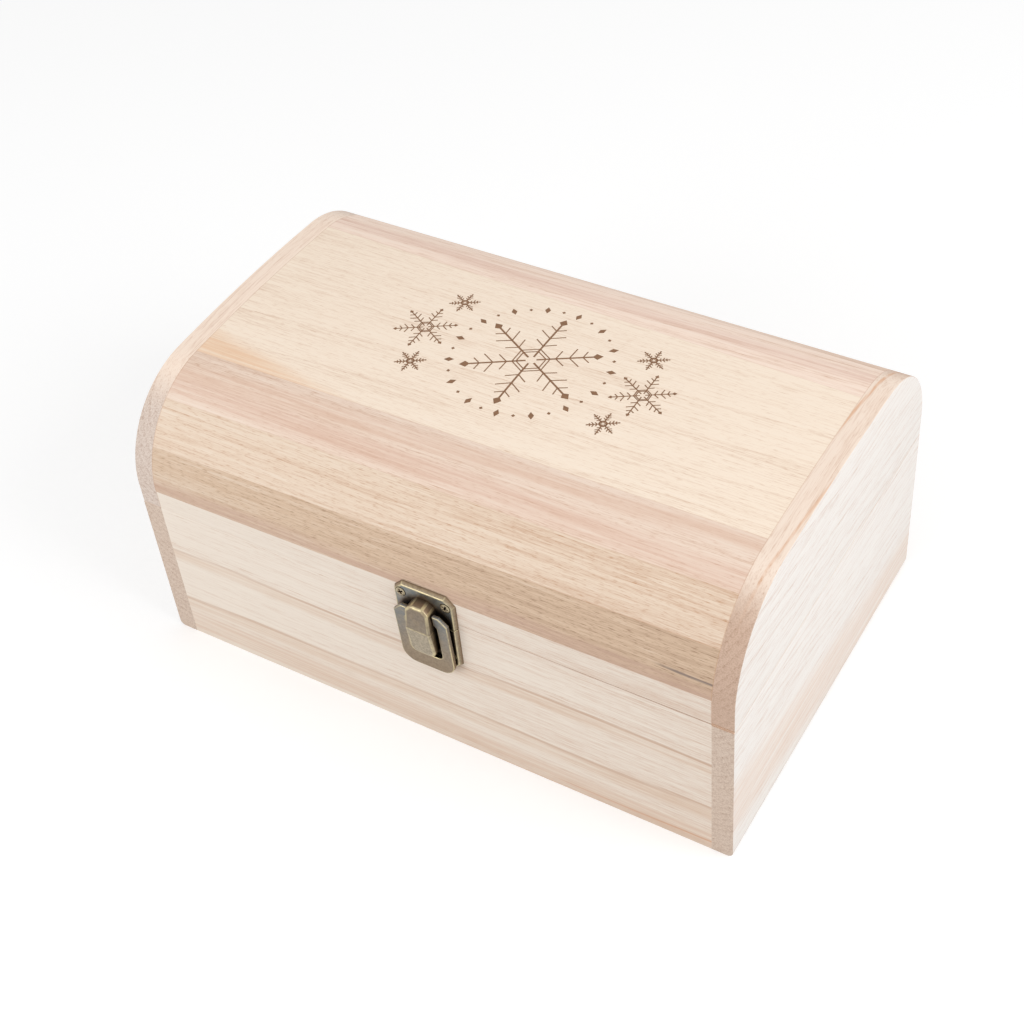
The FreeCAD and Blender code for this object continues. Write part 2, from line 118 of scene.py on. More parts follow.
class ClaspSizes(bpy.types.PropertyGroup):
    """Sizes of the clasp that the solids' boxes don't give."""
    plate_thickness: length("Plate thickness", 2, "Thickness of both plates")
    plate_bevel: length("Plate bevel", 1.1, "How far a plate's sides slope in")
    plate_corner: length("Plate corner", 4.4, "Cut of a plate's two far corners")
    block_width: length("Block width", 12.8, "Width of the hook block and of the knuckle block's foot")
    knuckle_height: length("Knuckle height", 13.1, "Height of the knuckle block")
    knuckle_top_width: length("Knuckle top", 11.2, "Width of the knuckle block at its top")
    knuckle_corner: length("Knuckle corner", 2.6, "Cut of the knuckle block's upper corners")
    hook_height: length("Hook height", 16.9, "Height of the hook block")
    knuckle_lean: length("Knuckle lean", 1.2, "How much less the knuckle's top stands out than the crest")
    hook_lean: length("Hook lean", 2.2, "How much less the hook's foot stands out than the crest")
    hook_corner: length("Hook corner", 4.2, "Radius of the hook's lower corners")
    hook_nose: length("Hook nose", 1.7, "Thickness of the nose that holds the ring")
    hook_undercut: length("Hook undercut", 1.2, "Height of the hollow behind the nose")
    ring_thickness: length("Ring thickness", 2, "Thickness of the ring")
    ring_reach: length("Ring reach", 25.58, "From the pivot to the inside of the ring's bar")
    ring_bar: length("Ring bar", 9, "Height of the ring's bar")
    ring_side_gap: length("Ring side gap", 1.6, "Room between a block's side and an arm")
    ring_arm: length("Ring arm", 5.4, "Width of the ring's arms")
    ring_outer_radius: length("Ring outer corner", 7, "Radius of the ring's outer corners")
    ring_inner_radius: length("Ring inner corner", 2.5, "Radius of the ring's inner corners")
    ring_ear_rise: length("Ring ear", 2.6, "How far an ear rises above the pivot")
    ring_ear_inner: length("Ear gap", 6.47, "From the clasp's middle to the inside of an ear")
    ring_ear_corner: length("Ear corner", 4, "Cut of an ear's outer corner")
    ring_rest_gap: length("Rest gap", 0.3, "Room between the ring's bar and the lower plate")
    cast_edge: length("Cast edge", 0.4, "Rounding of the plates', the ring's and the crest's edges")
    crest_gap: length("Crest gap", 0.12, "Gap between the two blocks where their faces meet")
    block_edge: length("Block edge", 1.0, "Rounding around the faces of the two blocks")
    # The bright band stands for wear and a painted highlight
    wear_and_highlight_band: length("Rubbed band", 0.45, "How far the brightness of an edge runs onto its face")
    screw_proud: length("Screw height", 0.5, "How far a screw head stands out of its seat")
    # The gap shows as a dark ring: painted shadow, and stain
    screw_seat: length("Screw seat", 0.3, "Width of the dark gap around a screw head")
    screw_rim: length("Screw rim", 0.2, "Height of a screw head at its rim")
    cross_width: length("Cross width", 0.8, "Width of a screw's cross recess")
    cross_length: length("Cross length", 2.9, "Length of a screw's cross recess")
    cross_depth: length("Cross depth", 0.6, "Depth of a screw's cross recess")


class EngravingSizes(bpy.types.PropertyGroup):
    """Sizes of the burnt ornament on the crown."""
    centre_x: length("Centre across", 2, "Where the ornament's middle lies along the width")
    centre_run: length("Centre back", 6, "How far the ornament's middle lies behind the crown's middle")
    flake_radius: length("Large flake", 30, "Radius of the snowflake in the middle")
    small_flake_radius: length("Small flake", 14, "Radius of the snowflakes at the sides")
    flake_spacing: length("Flake spacing", 55, "From the middle to the side snowflakes")
    wreath_radius: length("Wreath", 36.5, "Radius of the ring of lozenges")
    line: length("Line", 0.9, "Width of the main burnt lines")
    fine_line: length("Fine line", 0.55, "Width of the finer burnt lines")
    proud: length("Proud", 0.04, "How far the char stands over the wood")
    burn_depth: length("Burn depth", 0.25, "How deep the burn goes")


class BoxColours(bpy.types.PropertyGroup):
    """Colours of the wood and metal."""
    pale: tone("Pale board", "ecdfd1", "Front and back boards")
    # The end boards' outer faces and upward edges are one wood: their two colours paint how differently each is
    # lit, and the lid's left edge is painted lighter against its shade
    side: tone("End board", "efeae5", "Outer faces of the end boards")
    edge: tone("End board's edge", "f6e2d1", "Upper edge of the lid's end boards")
    left_edge_painted_light: tone("Left end's edge", "fde8d6", "Upper edge of the lid's left end")
    brown: tone("Brown stave", "d6ba9f", "Stave above the rail")
    tan: tone("Tan stave", "e9d3bd", "Striped stave on the shoulder")
    pink: tone("Pink stave", "efd8c6", "Reddish stave beside the crown")
    rose: tone("Rose wood", "fbe4d3", "Paulownia of the haunch behind the crown")
    cream: tone("Cream stave", "fcead6", "Wide stave of the crown")
    grain: tone("Grain", "ba855c", "Dark lines of the growth rings")
    brown_grain: tone("Brown stave's grain", "96745a", "Dark lines and dashes of the front's brown stave")
    silk: tone("Silk", "fbf1e4", "Pale fibres between the rings")
    end_grain: tone("End grain", "d9c5b4", "Sawn ends of the end boards")
    left_end_grain: tone("Left end grain", "e0d0c4", "Sawn ends of the lid's left end")
    shoulder_end: tone("Shoulder end grain", "cfb09a", "Sawn shoulders of the lid's right end")
    end_ring: tone("End rings", "a07c64", "Growth rings in the sawn ends")
    ply: tone("Plywood", "e6cfae", "Bottom board")
    char: tone("Char", "7a5a41", "Burnt lines of the ornament")
    bronze: tone("Bronze", "b0a28b", "Plated faces of the fittings")
    # Worn edges, with the highlight that they catch painted in
    wear_and_highlight: tone("Worn bronze", "d2c39a", "Edges where the plating is rubbed bright")
    # Tarnish and patina colour the hollows, as stain and as painted shade
    tarnish_and_shade: tone("Tarnish", "7c6146", "Brown at the rim of the hollows")
    steel: tone("Bluish cast", "777d80", "Cast on the ring's arms and the plates, where the plating is thin")
    patina_and_shade: tone("Patina", "1c150f", "Dark hollows of the fittings")


class StageSettings(bpy.types.PropertyGroup):
    """Camera and light."""
    azimuth: angle("Azimuth", 34.894, "Camera's turn to the right of the box's front")
    elevation: angle("Elevation", 44.123, "Camera's angle above the floor")
    roll: angle("Roll", -6.194, "Camera's turn about its own axis")
    distance: length("Distance", 842.262, "From the camera to its target")
    target: FloatVectorProperty(name="Target", description="Point that the camera looks at",
                                default=(-0.007826, -0.006918, 0.05852), subtype="TRANSLATION", precision=5)
    focal_length: FloatProperty(name="Focal length", description="Lens in millimetres on a 36 mm sensor",
                                default=63.12)
    sky: FloatProperty(name="Sky", description="Strength of the even light from all sides", default=0.7)
    key: FloatProperty(name="Key", description="Power of the lamp over the right end, in watts", default=5.1)
    fill: FloatProperty(name="Fill", description="Power of the lamp before the left front, in watts", default=4.0)


class BoxSettings(bpy.types.PropertyGroup):
    """All settings of the box."""
    wood: PointerProperty(type=WoodSizes, name="Wood", description="Sizes of the boards and staves")
    clasp: PointerProperty(type=ClaspSizes, name="Clasp", description="Sizes of the clasp")
    engraving: PointerProperty(type=EngravingSizes, name="Engraving", description="Sizes of the ornament")
    colours: PointerProperty(type=BoxColours, name="Colours", description="Colours of the wood and metal")
    stage: PointerProperty(type=StageSettings, name="Stage", description="Camera and light")


def settings():
    """The add-on's settings in the current scene."""
    return bpy.context.scene.keepsake_box


# Nodes of the materials

def feed(tree, node, inputs):
    """Puts values or links on a node's inputs."""
    for key, value in dict(inputs).items():
        if isinstance(value, bpy.types.NodeSocket):
            tree.links.new(value, node.inputs[key])
        else:
            node.inputs[key].default_value = value


def add(tree, kind, inputs=(), out=0, **values):
    """Adds a node with its settings, and with values or links on its inputs. Returns one of its outputs."""
    node = tree.nodes.new("ShaderNode" + kind)
    for name, value in values.items():
        setattr(node, name, value)
    feed(tree, node, inputs)
    return node.outputs[out]


def maths(tree, operation, *inputs, clamp=False):
    """What a calculation with numbers gives."""
    return add(tree, "Math", enumerate(inputs), operation=operation, use_clamp=clamp)


def vectors(tree, operation, *inputs, out=0):
    """What a calculation with vectors gives."""
    return add(tree, "VectorMath", enumerate(inputs), out, operation=operation)


def spread(tree, value, start=0, end=1, low=0, high=1, smooth=False):
    """Low at the start, high at the end and evenly or smoothly in between, by where the value lies."""
    inputs = {"Value": value, "From Min": start, "From Max": end, "To Min": low, "To Max": high}
    return add(tree, "MapRange", inputs, interpolation_type="SMOOTHSTEP" if smooth else "LINEAR")


def mixed(tree, share, *colours):
    """A colour that has a share of a second one over it."""
    under, over = (c if isinstance(c, bpy.types.NodeSocket) else (*c, 1) for c in colours)
    return add(tree, "Mix", {"Factor": share, 6: under, 7: over}, 2, data_type="RGBA")


def noise(tree, place, scale=1, detail=2):
    """A cloudy pattern between 0 and 1."""
    return add(tree, "TexNoise", {"Vector": place, "Scale": scale, "Detail": detail}, "Fac")


def layer(tree, name, out="Fac"):
    """What a mesh holds at its points under that name."""
    return add(tree, "Attribute", (), out, attribute_name=name)


def axes(tree, vector):
    """The three numbers of a vector."""
    return add(tree, "SeparateXYZ", {0: vector}).node.outputs


def bump(tree, height, strength, depth):
    """A surface that is raised and sunk by a pattern."""
    return add(tree, "Bump", {"Height": height, "Strength": strength, "Distance": depth})


def new_material(name):
    """A material with a bare surface shader, its node tree and that shader."""
    material = bpy.data.materials.new(name)
    material.use_nodes = True
    tree = material.node_tree
    return material, tree, tree.nodes["Principled BSDF"]


# Materials

X_AXIS = (1, 0, 0)
Y_AXIS = (0, 1, 0)

# Sawdust, and painted shade of the open saw cut, show on a long board as far as this from the cut
SEAM_DUST_AND_SHADE_REACH = 0.5 * MM

# A coloured stripe along the grain: its colour, its place and width across the grain in millimetres, how strong
# it is, how much it climbs per millimetre, where along the grain it starts in millimetres, and if its place is
# measured through the board, on the upward edge only
Streak = namedtuple("Streak", "colour across width strength lean start deep", defaults=(0, -1000, False))

# How a board was cut: its colour, the spacing of its rings and the place of the tree's middle across and under
# the face in millimetres, the strength of its rings, broad bands and thin stripes, a number that sets it apart
# from other boards, the strength of its fibres, the lean of its grain, how much painted shade darkens it per metre
# to the right (painted light where this is below zero), its streaks, the way of its grain, how many pores show
# between the rings, and the colours of its upward edge (painted light: the same wood as lit apart from its faces),
# sawn ends and dark lines where these aren't the usual ones
Board = namedtuple("Board", "colour ring pith rings bands stripes seed fibres lean drift streaks axis pores "
                   "edge end grain", defaults=(0.16, 0, 0, (), X_AXIS, 0.14, None, None, None))


def paulownia(name, board):
    """Raw paulownia, planed and sanded: matt and silky, with thin brown lines where each year's wide pores
    begin, short pore dashes and fine fibres along the board, and darker speckled end grain."""
    colours = settings().colours
    material, tree, shader = new_material(name)
    place = add(tree, "VectorMath", {0: layer(tree, "grain", "Vector"), "Scale": 1 / MM}, operation="SCALE")
    shift = [board.seed * step for step in (211, 37, 53)]
    # Lengths along, across and through the board, in millimetres, over which each pattern changes.
    # Fibres and pores are drawn about three times as coarse as the real ones, so that they show.
    sizes = {
        "sway": (170, 70, 70),
        "kink": (70, 8, 8),
        "bands": (240, 8, 8),
        "fade": (110, 9, 9),
        "stripes": (85, 1.5, 1.5),
        "fibres": (13, 0.45, 0.45),
        "pores": (4, 0.45, 0.45),
        "specks": (0.6, 0.6, 0.6),
    }
    field = {}
    for key, size in sizes.items():
        field[key] = noise(tree, vectors(tree, "MULTIPLY_ADD", place, [1 / s for s in size], shift))
    along, face, through = axes(tree, place)
    across = maths(tree, "MULTIPLY_ADD", along, board.lean, face)
    for key, swing in (("sway", 6), ("kink", 1.2)):
        across = maths(tree, "ADD", across, spread(tree, field[key], low=-swing, high=swing))
    # Each year's line starts sharply and runs out softly
    from_pith = maths(tree, "SUBTRACT", across, board.pith[0])
    under = maths(tree, "ADD", through, board.pith[1])
    radius = vectors(tree, "LENGTH", add(tree, "CombineXYZ", {0: from_pith, 1: under}), out="Value")
    year = maths(tree, "DIVIDE", radius, board.ring)
    part = maths(tree, "FRACT", year)
    thin = spread(tree, part, 0, 0.11, 1, 0, smooth=True)
    soft = spread(tree, part, 0, 0.6, 0.45, 0, smooth=True)
    line = end_line = maths(tree, "MAXIMUM", thin, soft)
    # It is stronger in one year than in another, fades along the board and is broken by the fibres
    count = maths(tree, "ADD", maths(tree, "FLOOR", year), board.seed + 0.5)
    vigour = add(tree, "TexWhiteNoise", {"W": count}, "Value", noise_dimensions="1D")
    for share in (spread(tree, vigour, low=0.2), spread(tree, field["fade"], 0.3, 0.65, 0.35),
                  spread(tree, field["fibres"], 0.3, 0.6, 0.6)):
        line = maths(tree, "MULTIPLY", line, share)
    # Pores, rings, bands, stripes and fibres add up to how dark the wood is
    pores = spread(tree, field["pores"], 0.55, 0.7)
    dark = maths(tree, "MULTIPLY", pores, spread(tree, line, low=board.pores, high=0.5))
    dark = maths(tree, "ADD", dark, maths(tree, "MULTIPLY", line, board.rings))
    for key, amount in (("bands", board.bands), ("stripes", board.stripes), ("fibres", 1.5 * board.fibres)):
        dark = maths(tree, "ADD", dark, spread(tree, field[key], 0.25, 0.75, -amount, amount))
    # Painted shade that deepens towards the right, or painted light where it is below zero
    dark = maths(tree, "ADD", dark, maths(tree, "MULTIPLY", along, board.drift * MM))
    facing = add(tree, "TexCoord", out="Normal")
    upward = spread(tree, add(tree, "SeparateXYZ", {0: facing}, "Z"), 0.5, 0.8)
    # Painted light: faces that look up take the board's edge colour, a differently lit copy of the same wood
    colour = mixed(tree, upward, board.colour, board.edge or board.colour)
    clear = maths(tree, "MAXIMUM", dark, 0, clamp=True)
    silky = maths(tree, "MULTIPLY", dark, -0.8, clamp=True)
    colour = mixed(tree, clear, colour, board.grain or colours.grain)
    colour = mixed(tree, silky, colour, colours.silk)
    # Streaks are patchy and fade in where they start
    patchy = spread(tree, field["stripes"], 0.3, 0.6, 0.3)
    fade_in = 12
    for streak in board.streaks:
        middle = maths(tree, "MULTIPLY_ADD", along, -streak.lean, through if streak.deep else across)
        away = maths(tree, "ABSOLUTE", maths(tree, "SUBTRACT", middle, streak.across))
        mask = spread(tree, away, 0.3 * streak.width, streak.width, streak.strength, 0, smooth=True)
        begun = spread(tree, along, streak.start, streak.start + fade_in)
        for share in (patchy, begun, upward if streak.deep else 1):
            mask = maths(tree, "MULTIPLY", mask, share)
        colour = mixed(tree, mask, colour, linear(streak.colour))
    # Sawn ends are darker, with specks of open pores
    ended = maths(tree, "ABSOLUTE", vectors(tree, "DOT_PRODUCT", facing, board.axis, out="Value"))
    ended = spread(tree, ended, 0.25, 0.75, 0, 0.95, smooth=True)
    speckle = maths(tree, "MULTIPLY_ADD", end_line, 0.12, clear, clamp=True)
    specks = spread(tree, field["specks"], 0.42, 0.68, 0, 0.4)
    speckle = maths(tree, "ADD", speckle, specks, clamp=True)
    end_colour = mixed(tree, speckle, board.end or colours.end_grain, colours.end_ring)
    colour = mixed(tree, ended, colour, end_colour)
    # Sawdust and painted shade of the open saw cut darken a board next to the cut or its end joints, but an
    # upright board only on its sawn ends. Glue darkens the joint of two staves a little.
    before, behind, to_cut = axes(tree, layer(tree, "rim", "Vector"))
    upright = board.axis == Y_AXIS
    dust_and_shade_reach, dust_and_shade = (0.8 * MM, 1) if upright else (SEAM_DUST_AND_SHADE_REACH, 0.45)
    shade_dust_and_glue = spread(tree, to_cut, 0, dust_and_shade_reach, dust_and_shade, 0)
    glued = spread(tree, maths(tree, "MINIMUM", before, behind), 0, 0.4 * MM, 0.16, 0)
    shade_dust_and_glue = maths(tree, "MAXIMUM", shade_dust_and_glue, glued)
    if upright:
        shade_dust_and_glue = maths(tree, "MULTIPLY", shade_dust_and_glue, ended)
    feed(tree, shader, {
        "Base Color": mixed(tree, shade_dust_and_glue, colour, colours.grain),
        "Roughness": spread(tree, field["fibres"], low=0.55, high=0.8),
        "Normal": bump(tree, maths(tree, "MULTIPLY", dark, -1), strength=0.25, depth=0.1 * MM),
        "IOR": 1.45,
    })
    return material


def plywood():
    """Birch plywood, sanded: a pale rotary-cut veneer with broad soft figure and short flecks."""
    board = Board(settings().colours.ply, ring=26, pith=(30, 60), rings=0.3, bands=0.1, stripes=0.08, fibres=0.1,
                  lean=0.03, seed=9)
    return paulownia("birch_plywood", board)


def charred_wood():
    """Wood burnt by an engraving beam: matt brown char, lighter where the fibres are dense."""
    char = settings().colours.char
    material, tree, shader = new_material("charred_wood")
    fibre_scale = [1 / (size * MM) for size in (9, 0.8, 0.8)]
    fibres = noise(tree, vectors(tree, "MULTIPLY", add(tree, "TexCoord", out="Object"), fibre_scale))
    feed(tree, shader, {
        "Base Color": mixed(tree, fibres, char, [min(1, c * 1.7) for c in char]),
        "Roughness": 0.85,
        "Normal": bump(tree, fibres, strength=0.3, depth=0.1 * MM),
    })
    return material


def antique_bronze():
    """Cast zinc with antique bronze plating: grey-brown faces with a mottled stain, edges rubbed to a pale brass
    with their highlight painted in, and nearly black hollows, where the stain was not wiped off and shade is
    painted in."""
    colours = settings().colours
    material, tree, shader = new_material("bronze_plating")
    place = add(tree, "TexCoord", out="Object")
    patch, stain, grit = (noise(tree, place, 1 / (size * MM), detail=3) for size in (3, 1.1, 0.4))
    # Painted shade: ambient occlusion darkens hollows, roots and the plate round the blocks, over the stain left
    # there
    open_sky = add(tree, "AmbientOcclusion", {"Distance": 6 * MM}, "AO", samples=16)
    hollow = maths(tree, "MAXIMUM", spread(tree, open_sky, 0.8, 0.35, 0, 0.97), layer(tree, "recess"))
    colour = mixed(tree, spread(tree, stain, 0.4, 0.7, 0, 0.4), colours.bronze, colours.patina_and_shade)
    for share, over in (
        (maths(tree, "MULTIPLY", layer(tree, "cool"), spread(tree, patch, 0.3, 0.6, 0.5)), colours.steel),
        # Brown at the rim of the hollows and near black in them: stain, and painted shade
        (spread(tree, hollow, 0, 0.5, 0, 0.75), colours.tarnish_and_shade),
        (spread(tree, hollow, 0.4, 1, 0, 0.97), colours.patina_and_shade),
        # Pale brass on the edges: rubbed wear, and painted highlight
        (maths(tree, "MULTIPLY", layer(tree, "wear_and_highlight"), spread(tree, patch, 0.35, 0.6, 0.3, 0.9)), colours.wear_and_highlight),
    ):
        colour = mixed(tree, share, colour, over)
    feed(tree, shader, {
        "Base Color": colour,
        "Metallic": 0.9,
        "Roughness": spread(tree, grit, low=0.26, high=0.5),
        "Normal": bump(tree, grit, strength=0.2, depth=0.06 * MM),
    })
    return material


def bronze_plating():
    """The bronze of all fittings, made on its first use."""
    return bpy.data.materials.get("bronze_plating") or antique_bronze()


# Meshes

def facing_out(bm):
    """The same mesh with its faces turned outwards."""
    bmesh.ops.recalc_face_normals(bm, faces=bm.faces)
    return bm


def between(first, last):
    """A closed mesh between two outlines that have as many points."""
    bm = bmesh.new()
    near, far = ([bm.verts.new(p) for p in outline] for outline in (first, last))
    bm.faces.new(near)
    bm.faces.new(far)
    for i in range(len(near)):
        bm.faces.new((near[i - 1], near[i], far[i], far[i - 1]))
    return facing_out(bm)


def prism(outline, travel):
    """A closed mesh of an outline swept along a straight line."""
    return between(outline, [Vector(p) + Vector(travel) for p in outline])


def eased(bm, width, wanted, segments=3):
    """Rounds the sharp edges whose middle passes the test, and marks the rounding as rubbed bright, with the
    highlight that a rounded edge catches painted in.
    """
    wear_and_highlight = bm.verts.layers.float.get("wear_and_highlight") or bm.verts.layers.float.new("wear_and_highlight")
    sharp = [e for e in bm.edges if len(e.link_faces) == 2 and e.calc_face_angle() > ROUNDED_FROM]
    edges = [e for e in sharp if wanted((e.verts[0].co + e.verts[1].co) / 2)]
    made = bmesh.ops.bevel(bm, geom=edges, offset=width, segments=segments, profile=0.5, affect="EDGES",
                           clamp_overlap=True)
    bm.faces.index_update()
    rounded = {face.index for face in made["faces"] if face.is_valid}
    for v in bm.verts:
        if all(face.index in rounded for face in v.link_faces):
            v[wear_and_highlight] = 1
    return bm


def rubbed(bm, band):
    """Lets the brightness of the edges, rubbed wear and a painted highlight, run out over a casting's front face.
    """
    wear_and_highlight = bm.verts.layers.float["wear_and_highlight"]
    bm.normal_update()
    forward, bright = -0.8, 0.8
    front = max((face for face in bm.faces if face.normal.y < forward), key=lambda face: face.calc_area())
    for v in front.verts:
        v[wear_and_highlight] = bright
    bmesh.ops.inset_individual(bm, faces=[front], thickness=band, use_even_offset=True)
    for v in front.verts:
        v[wear_and_highlight] = 0
    return bm


def stained_and_shaded(bm, amount, bluish=lambda p: 0):
    """Leaves as much dark, which is stain and painted shade, and as much of a bluish cast, at each point as the
    given functions say.
    """
    stain, cool = (bm.verts.layers.float.new(name) for name in ("recess", "cool"))
    for v in bm.verts:
        v[stain] = max(0, amount(v.co))
        v[cool] = min(1, max(0, bluish(v.co)))
    return bm


def polar(centre, reach, turn):
    """The point at a distance and an angle from a centre."""
    return (centre[0] + reach * cos(turn), centre[1] + reach * sin(turn))


def arc(centre, radius, start, end, steps):
    """Points along an arc between two angles in degrees."""
    return [polar(centre, radius, radians(start + (end - start) * i / steps)) for i in range(steps + 1)]


def baked(bm, name):
    """A mesh as data under a name. The mesh is used up."""
    mesh = bpy.data.meshes.new(name)
    bm.to_mesh(mesh)
    bm.free()
    return mesh


def joined(*meshes):
    """One mesh of several, which are used up."""
    whole = bmesh.new()
    for bm in meshes:
        part = baked(bm, "part")
        whole.from_mesh(part)
        bpy.data.meshes.remove(part)
    return whole


def placed(name, data):
    """An object of that data in the scene."""
    made = bpy.data.objects.new(name, data)
    bpy.context.scene.collection.objects.link(made)
    return made


def piece(name, bm, body, slot, material, *nodes):
    """A finished piece that stands for solids and moves with their body."""
    mesh = baked(bm, name)
    mesh.materials.append(material)
    mesh.shade_smooth()
    mesh.set_sharp_from_angle(angle=CREASED_FROM)
    made = placed(name, mesh)
    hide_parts(*nodes)
    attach(made, body)


# Boards of the base

# Axes of the frame that run along, across and through a board
ALONG_X = (0, 2, 1)
ALONG_Y = (1, 2, 0)
LYING = (0, 1, 2)

# The saw cut is fully open from this share of the half width on, and the end boards lie at least this tight
OPEN_FROM = 0.75
END_TIGHT = 0.5


def tight(p, least=0):
    """How tight the lid lies on the base at a point: wholly at the front left, less to the right and the back."""
    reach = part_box("right_end_panel")[1]
    return max(least, min(1, OPEN_FROM - p.x / reach.x) * (0.5 - p.y / (2 * reach.y)))


def drawn(bm, level, step, least=0):
    """Draws the points near a level up or down by as much of the step as the lid lies tight there."""
    for v in bm.verts:
        if abs(v.co.z - level) < 1 * MM:
            v.co.z += step * tight(v.co, least)
    return bm


def set_grain(bm, order, face, saw_cut):
    """Stores each point's place along, across and through its board, and how far it is from the saw cut, where
    less sawdust and less painted shade of the open cut show if the lid lies tight."""
    grain, rim = (bm.verts.layers.float_vector.new(name) for name in ("grain", "rim"))
    for v in bm.verts:
        along, across, through = (v.co[i] for i in order)
        v[grain] = (along, across, -abs(through - face))
        # Where the lid lies tight the cut counts as farther away, so less of its painted shade shows
        v[rim] = (FAR, FAR, abs(v.co.z - saw_cut) + SEAM_DUST_AND_SHADE_REACH * tight(v.co))
    return bm


def pale_board(node, bm, body, board, order, saw_cut):
    """Finishes a wall of the base or an end of the lid as a board of pale paulownia."""
    outer = max((corner[order[2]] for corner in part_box(node)), key=abs)
    set_grain(bm, order, outer, saw_cut)
    piece(node + "_board", bm, body, "pale_paulownia", paulownia(node + "_paulownia", board), node)


def end_planks():
    """The two planks that the end boards of the base and the lid are sawn from, left and right."""
    colours = settings().colours
    # Their upward edges are painted light with a colour of their own
    left = Board(colours.side, ring=3.4, pith=(150, 80), rings=0.36, bands=0.05, stripes=0.15, fibres=0.14,
                 edge=colours.edge, lean=0.14, axis=Y_AXIS, seed=3)
    return left, left._replace(lean=0.17, seed=4)


def block_without(low, high, seat_low, seat_high):
    """A mesh of a block from which another block is taken, built of the cells that their planes cut it into."""
    cuts = []
    for i in range(3):
        inside = [v for v in (seat_low[i], seat_high[i]) if low[i] < v < high[i]]
        cuts.append(sorted([low[i], *inside, high[i]]))

    def filled(cell):
        if any(not 0 <= k < len(cuts[i]) - 1 for i, k in enumerate(cell)):
            return False
        middle = [(cuts[i][k] + cuts[i][k + 1]) / 2 for i, k in enumerate(cell)]
        return not all(seat_low[i] < middle[i] < seat_high[i] for i in range(3))

    bm = bmesh.new()
    cells = product(*(range(len(planes) - 1) for planes in cuts))
    for cell, axis, step in product(filter(filled, cells), range(3), (0, 1)):
        beside = list(cell)
        beside[axis] += 2 * step - 1
        if filled(beside):
            continue
        u, v = [a for a in range(3) if a != axis]
        corners = []
        for du, dv in ((0, 0), (1, 0), (1, 1), (0, 1)):
            grid = list(cell)
            grid[axis] += step
            grid[u] += du
            grid[v] += dv
            corners.append(bm.verts.new([cuts[i][k] for i, k in enumerate(grid)]))
        bm.faces.new(corners)
    bmesh.ops.remove_doubles(bm, verts=bm.verts, dist=0.01 * MM)
    facing_out(bm)
    bmesh.ops.dissolve_limit(bm, angle_limit=radians(1), verts=bm.verts, edges=bm.edges)
    return bm


def base_wall(node):
    """A wall with a seat for the bottom board, a rounded foot and eased outer edges."""
    wood = settings().wood
    play = Vector((wood.seat_play,) * 3)
    seat_low, seat_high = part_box("bottom_panel")
    low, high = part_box(node)
    box_low, box_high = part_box("left_end_panel")[0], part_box("right_end_panel")[1]
    bm = block_without(low, high, seat_low - play, Vector((*(seat_high + play).xy, seat_high.z)))

    def at_end(p):
        return min(p.x - box_low.x, box_high.x - p.x) < NEAR

    def at_face(p):
        return min(p.y - box_low.y, box_high.y - p.y) < NEAR

    eased(bm, wood.foot_round, lambda p: at_end(p) and p.z < NEAR, segments=6)
    eased(bm, wood.corner_ease, lambda p: at_end(p) and at_face(p))
    return eased(bm, wood.saw_ease, lambda p: (at_end(p) or at_face(p)) and p.z > high.z - NEAR, segments=2)


class BOX_OT_base_walls(bpy.types.Operator):
    """Makes the four walls of the base"""
    bl_idname = "keepsake_box.base_walls"
    bl_label = "Base walls"

    def execute(self, context):
        # Its drift paints shade towards the right
        front = Board(settings().colours.pale, ring=9, pith=(210, 40), rings=0.32, bands=0.1, stripes=0.16,
                      drift=0.8, seed=1, streaks=(
                          Streak("b98f70", 57.5, 1.3, 0.6),
                          Streak("d9bda5", 54, 4.5, 0.5),
                          Streak("b98f70", 28, 1.6, 0.5, lean=0.02),
                          Streak("d9bda5", 24, 6, 0.55, lean=0.02),
                          Streak("dbbfa9", 8, 11, 0.7),
                          Streak("cf9c78", 6.6, 0.8, 0.7, start=60)))
        back = front._replace(pith=(-60, 55), streaks=(), seed=2)
        left, right = end_planks()
        right = right._replace(streaks=(Streak("e4c8b3", 20, 24, 0.5, lean=0.02),))
        for node, board, order, least in (
            ("front_panel", front, ALONG_X, 0),
            ("back_panel", back, ALONG_X, 0),
            ("left_end_panel", left, ALONG_Y, END_TIGHT),
            ("right_end_panel", right, ALONG_Y, END_TIGHT),
        ):
            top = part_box(node)[1].z
            bm = drawn(base_wall(node), top, settings().wood.seam_draw, least)
            pale_board(node, bm, "base", board, order, top)
        return {"FINISHED"}


class BOX_OT_bottom_board(bpy.types.Operator):
    """Makes the plywood bottom board"""
    bl_idname = "keepsake_box.bottom_board"
    bl_label = "Bottom board"

    def execute(self, context):
        low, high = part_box("bottom_panel")
        outline = [(x, y, low.z) for x, y in ((low.x, low.y), (high.x, low.y), (high.x, high.y), (low.x, high.y))]
        bm = prism(outline, (0, 0, high.z - low.z))
        eased(bm, settings().wood.saw_ease, lambda p: True, segments=2)
        set_grain(bm, LYING, high.z, FAR)
        piece("bottom_panel_board", bm, "base", "birch_plywood", plywood(), "bottom_panel")
        return {"FINISHED"}


# Lid

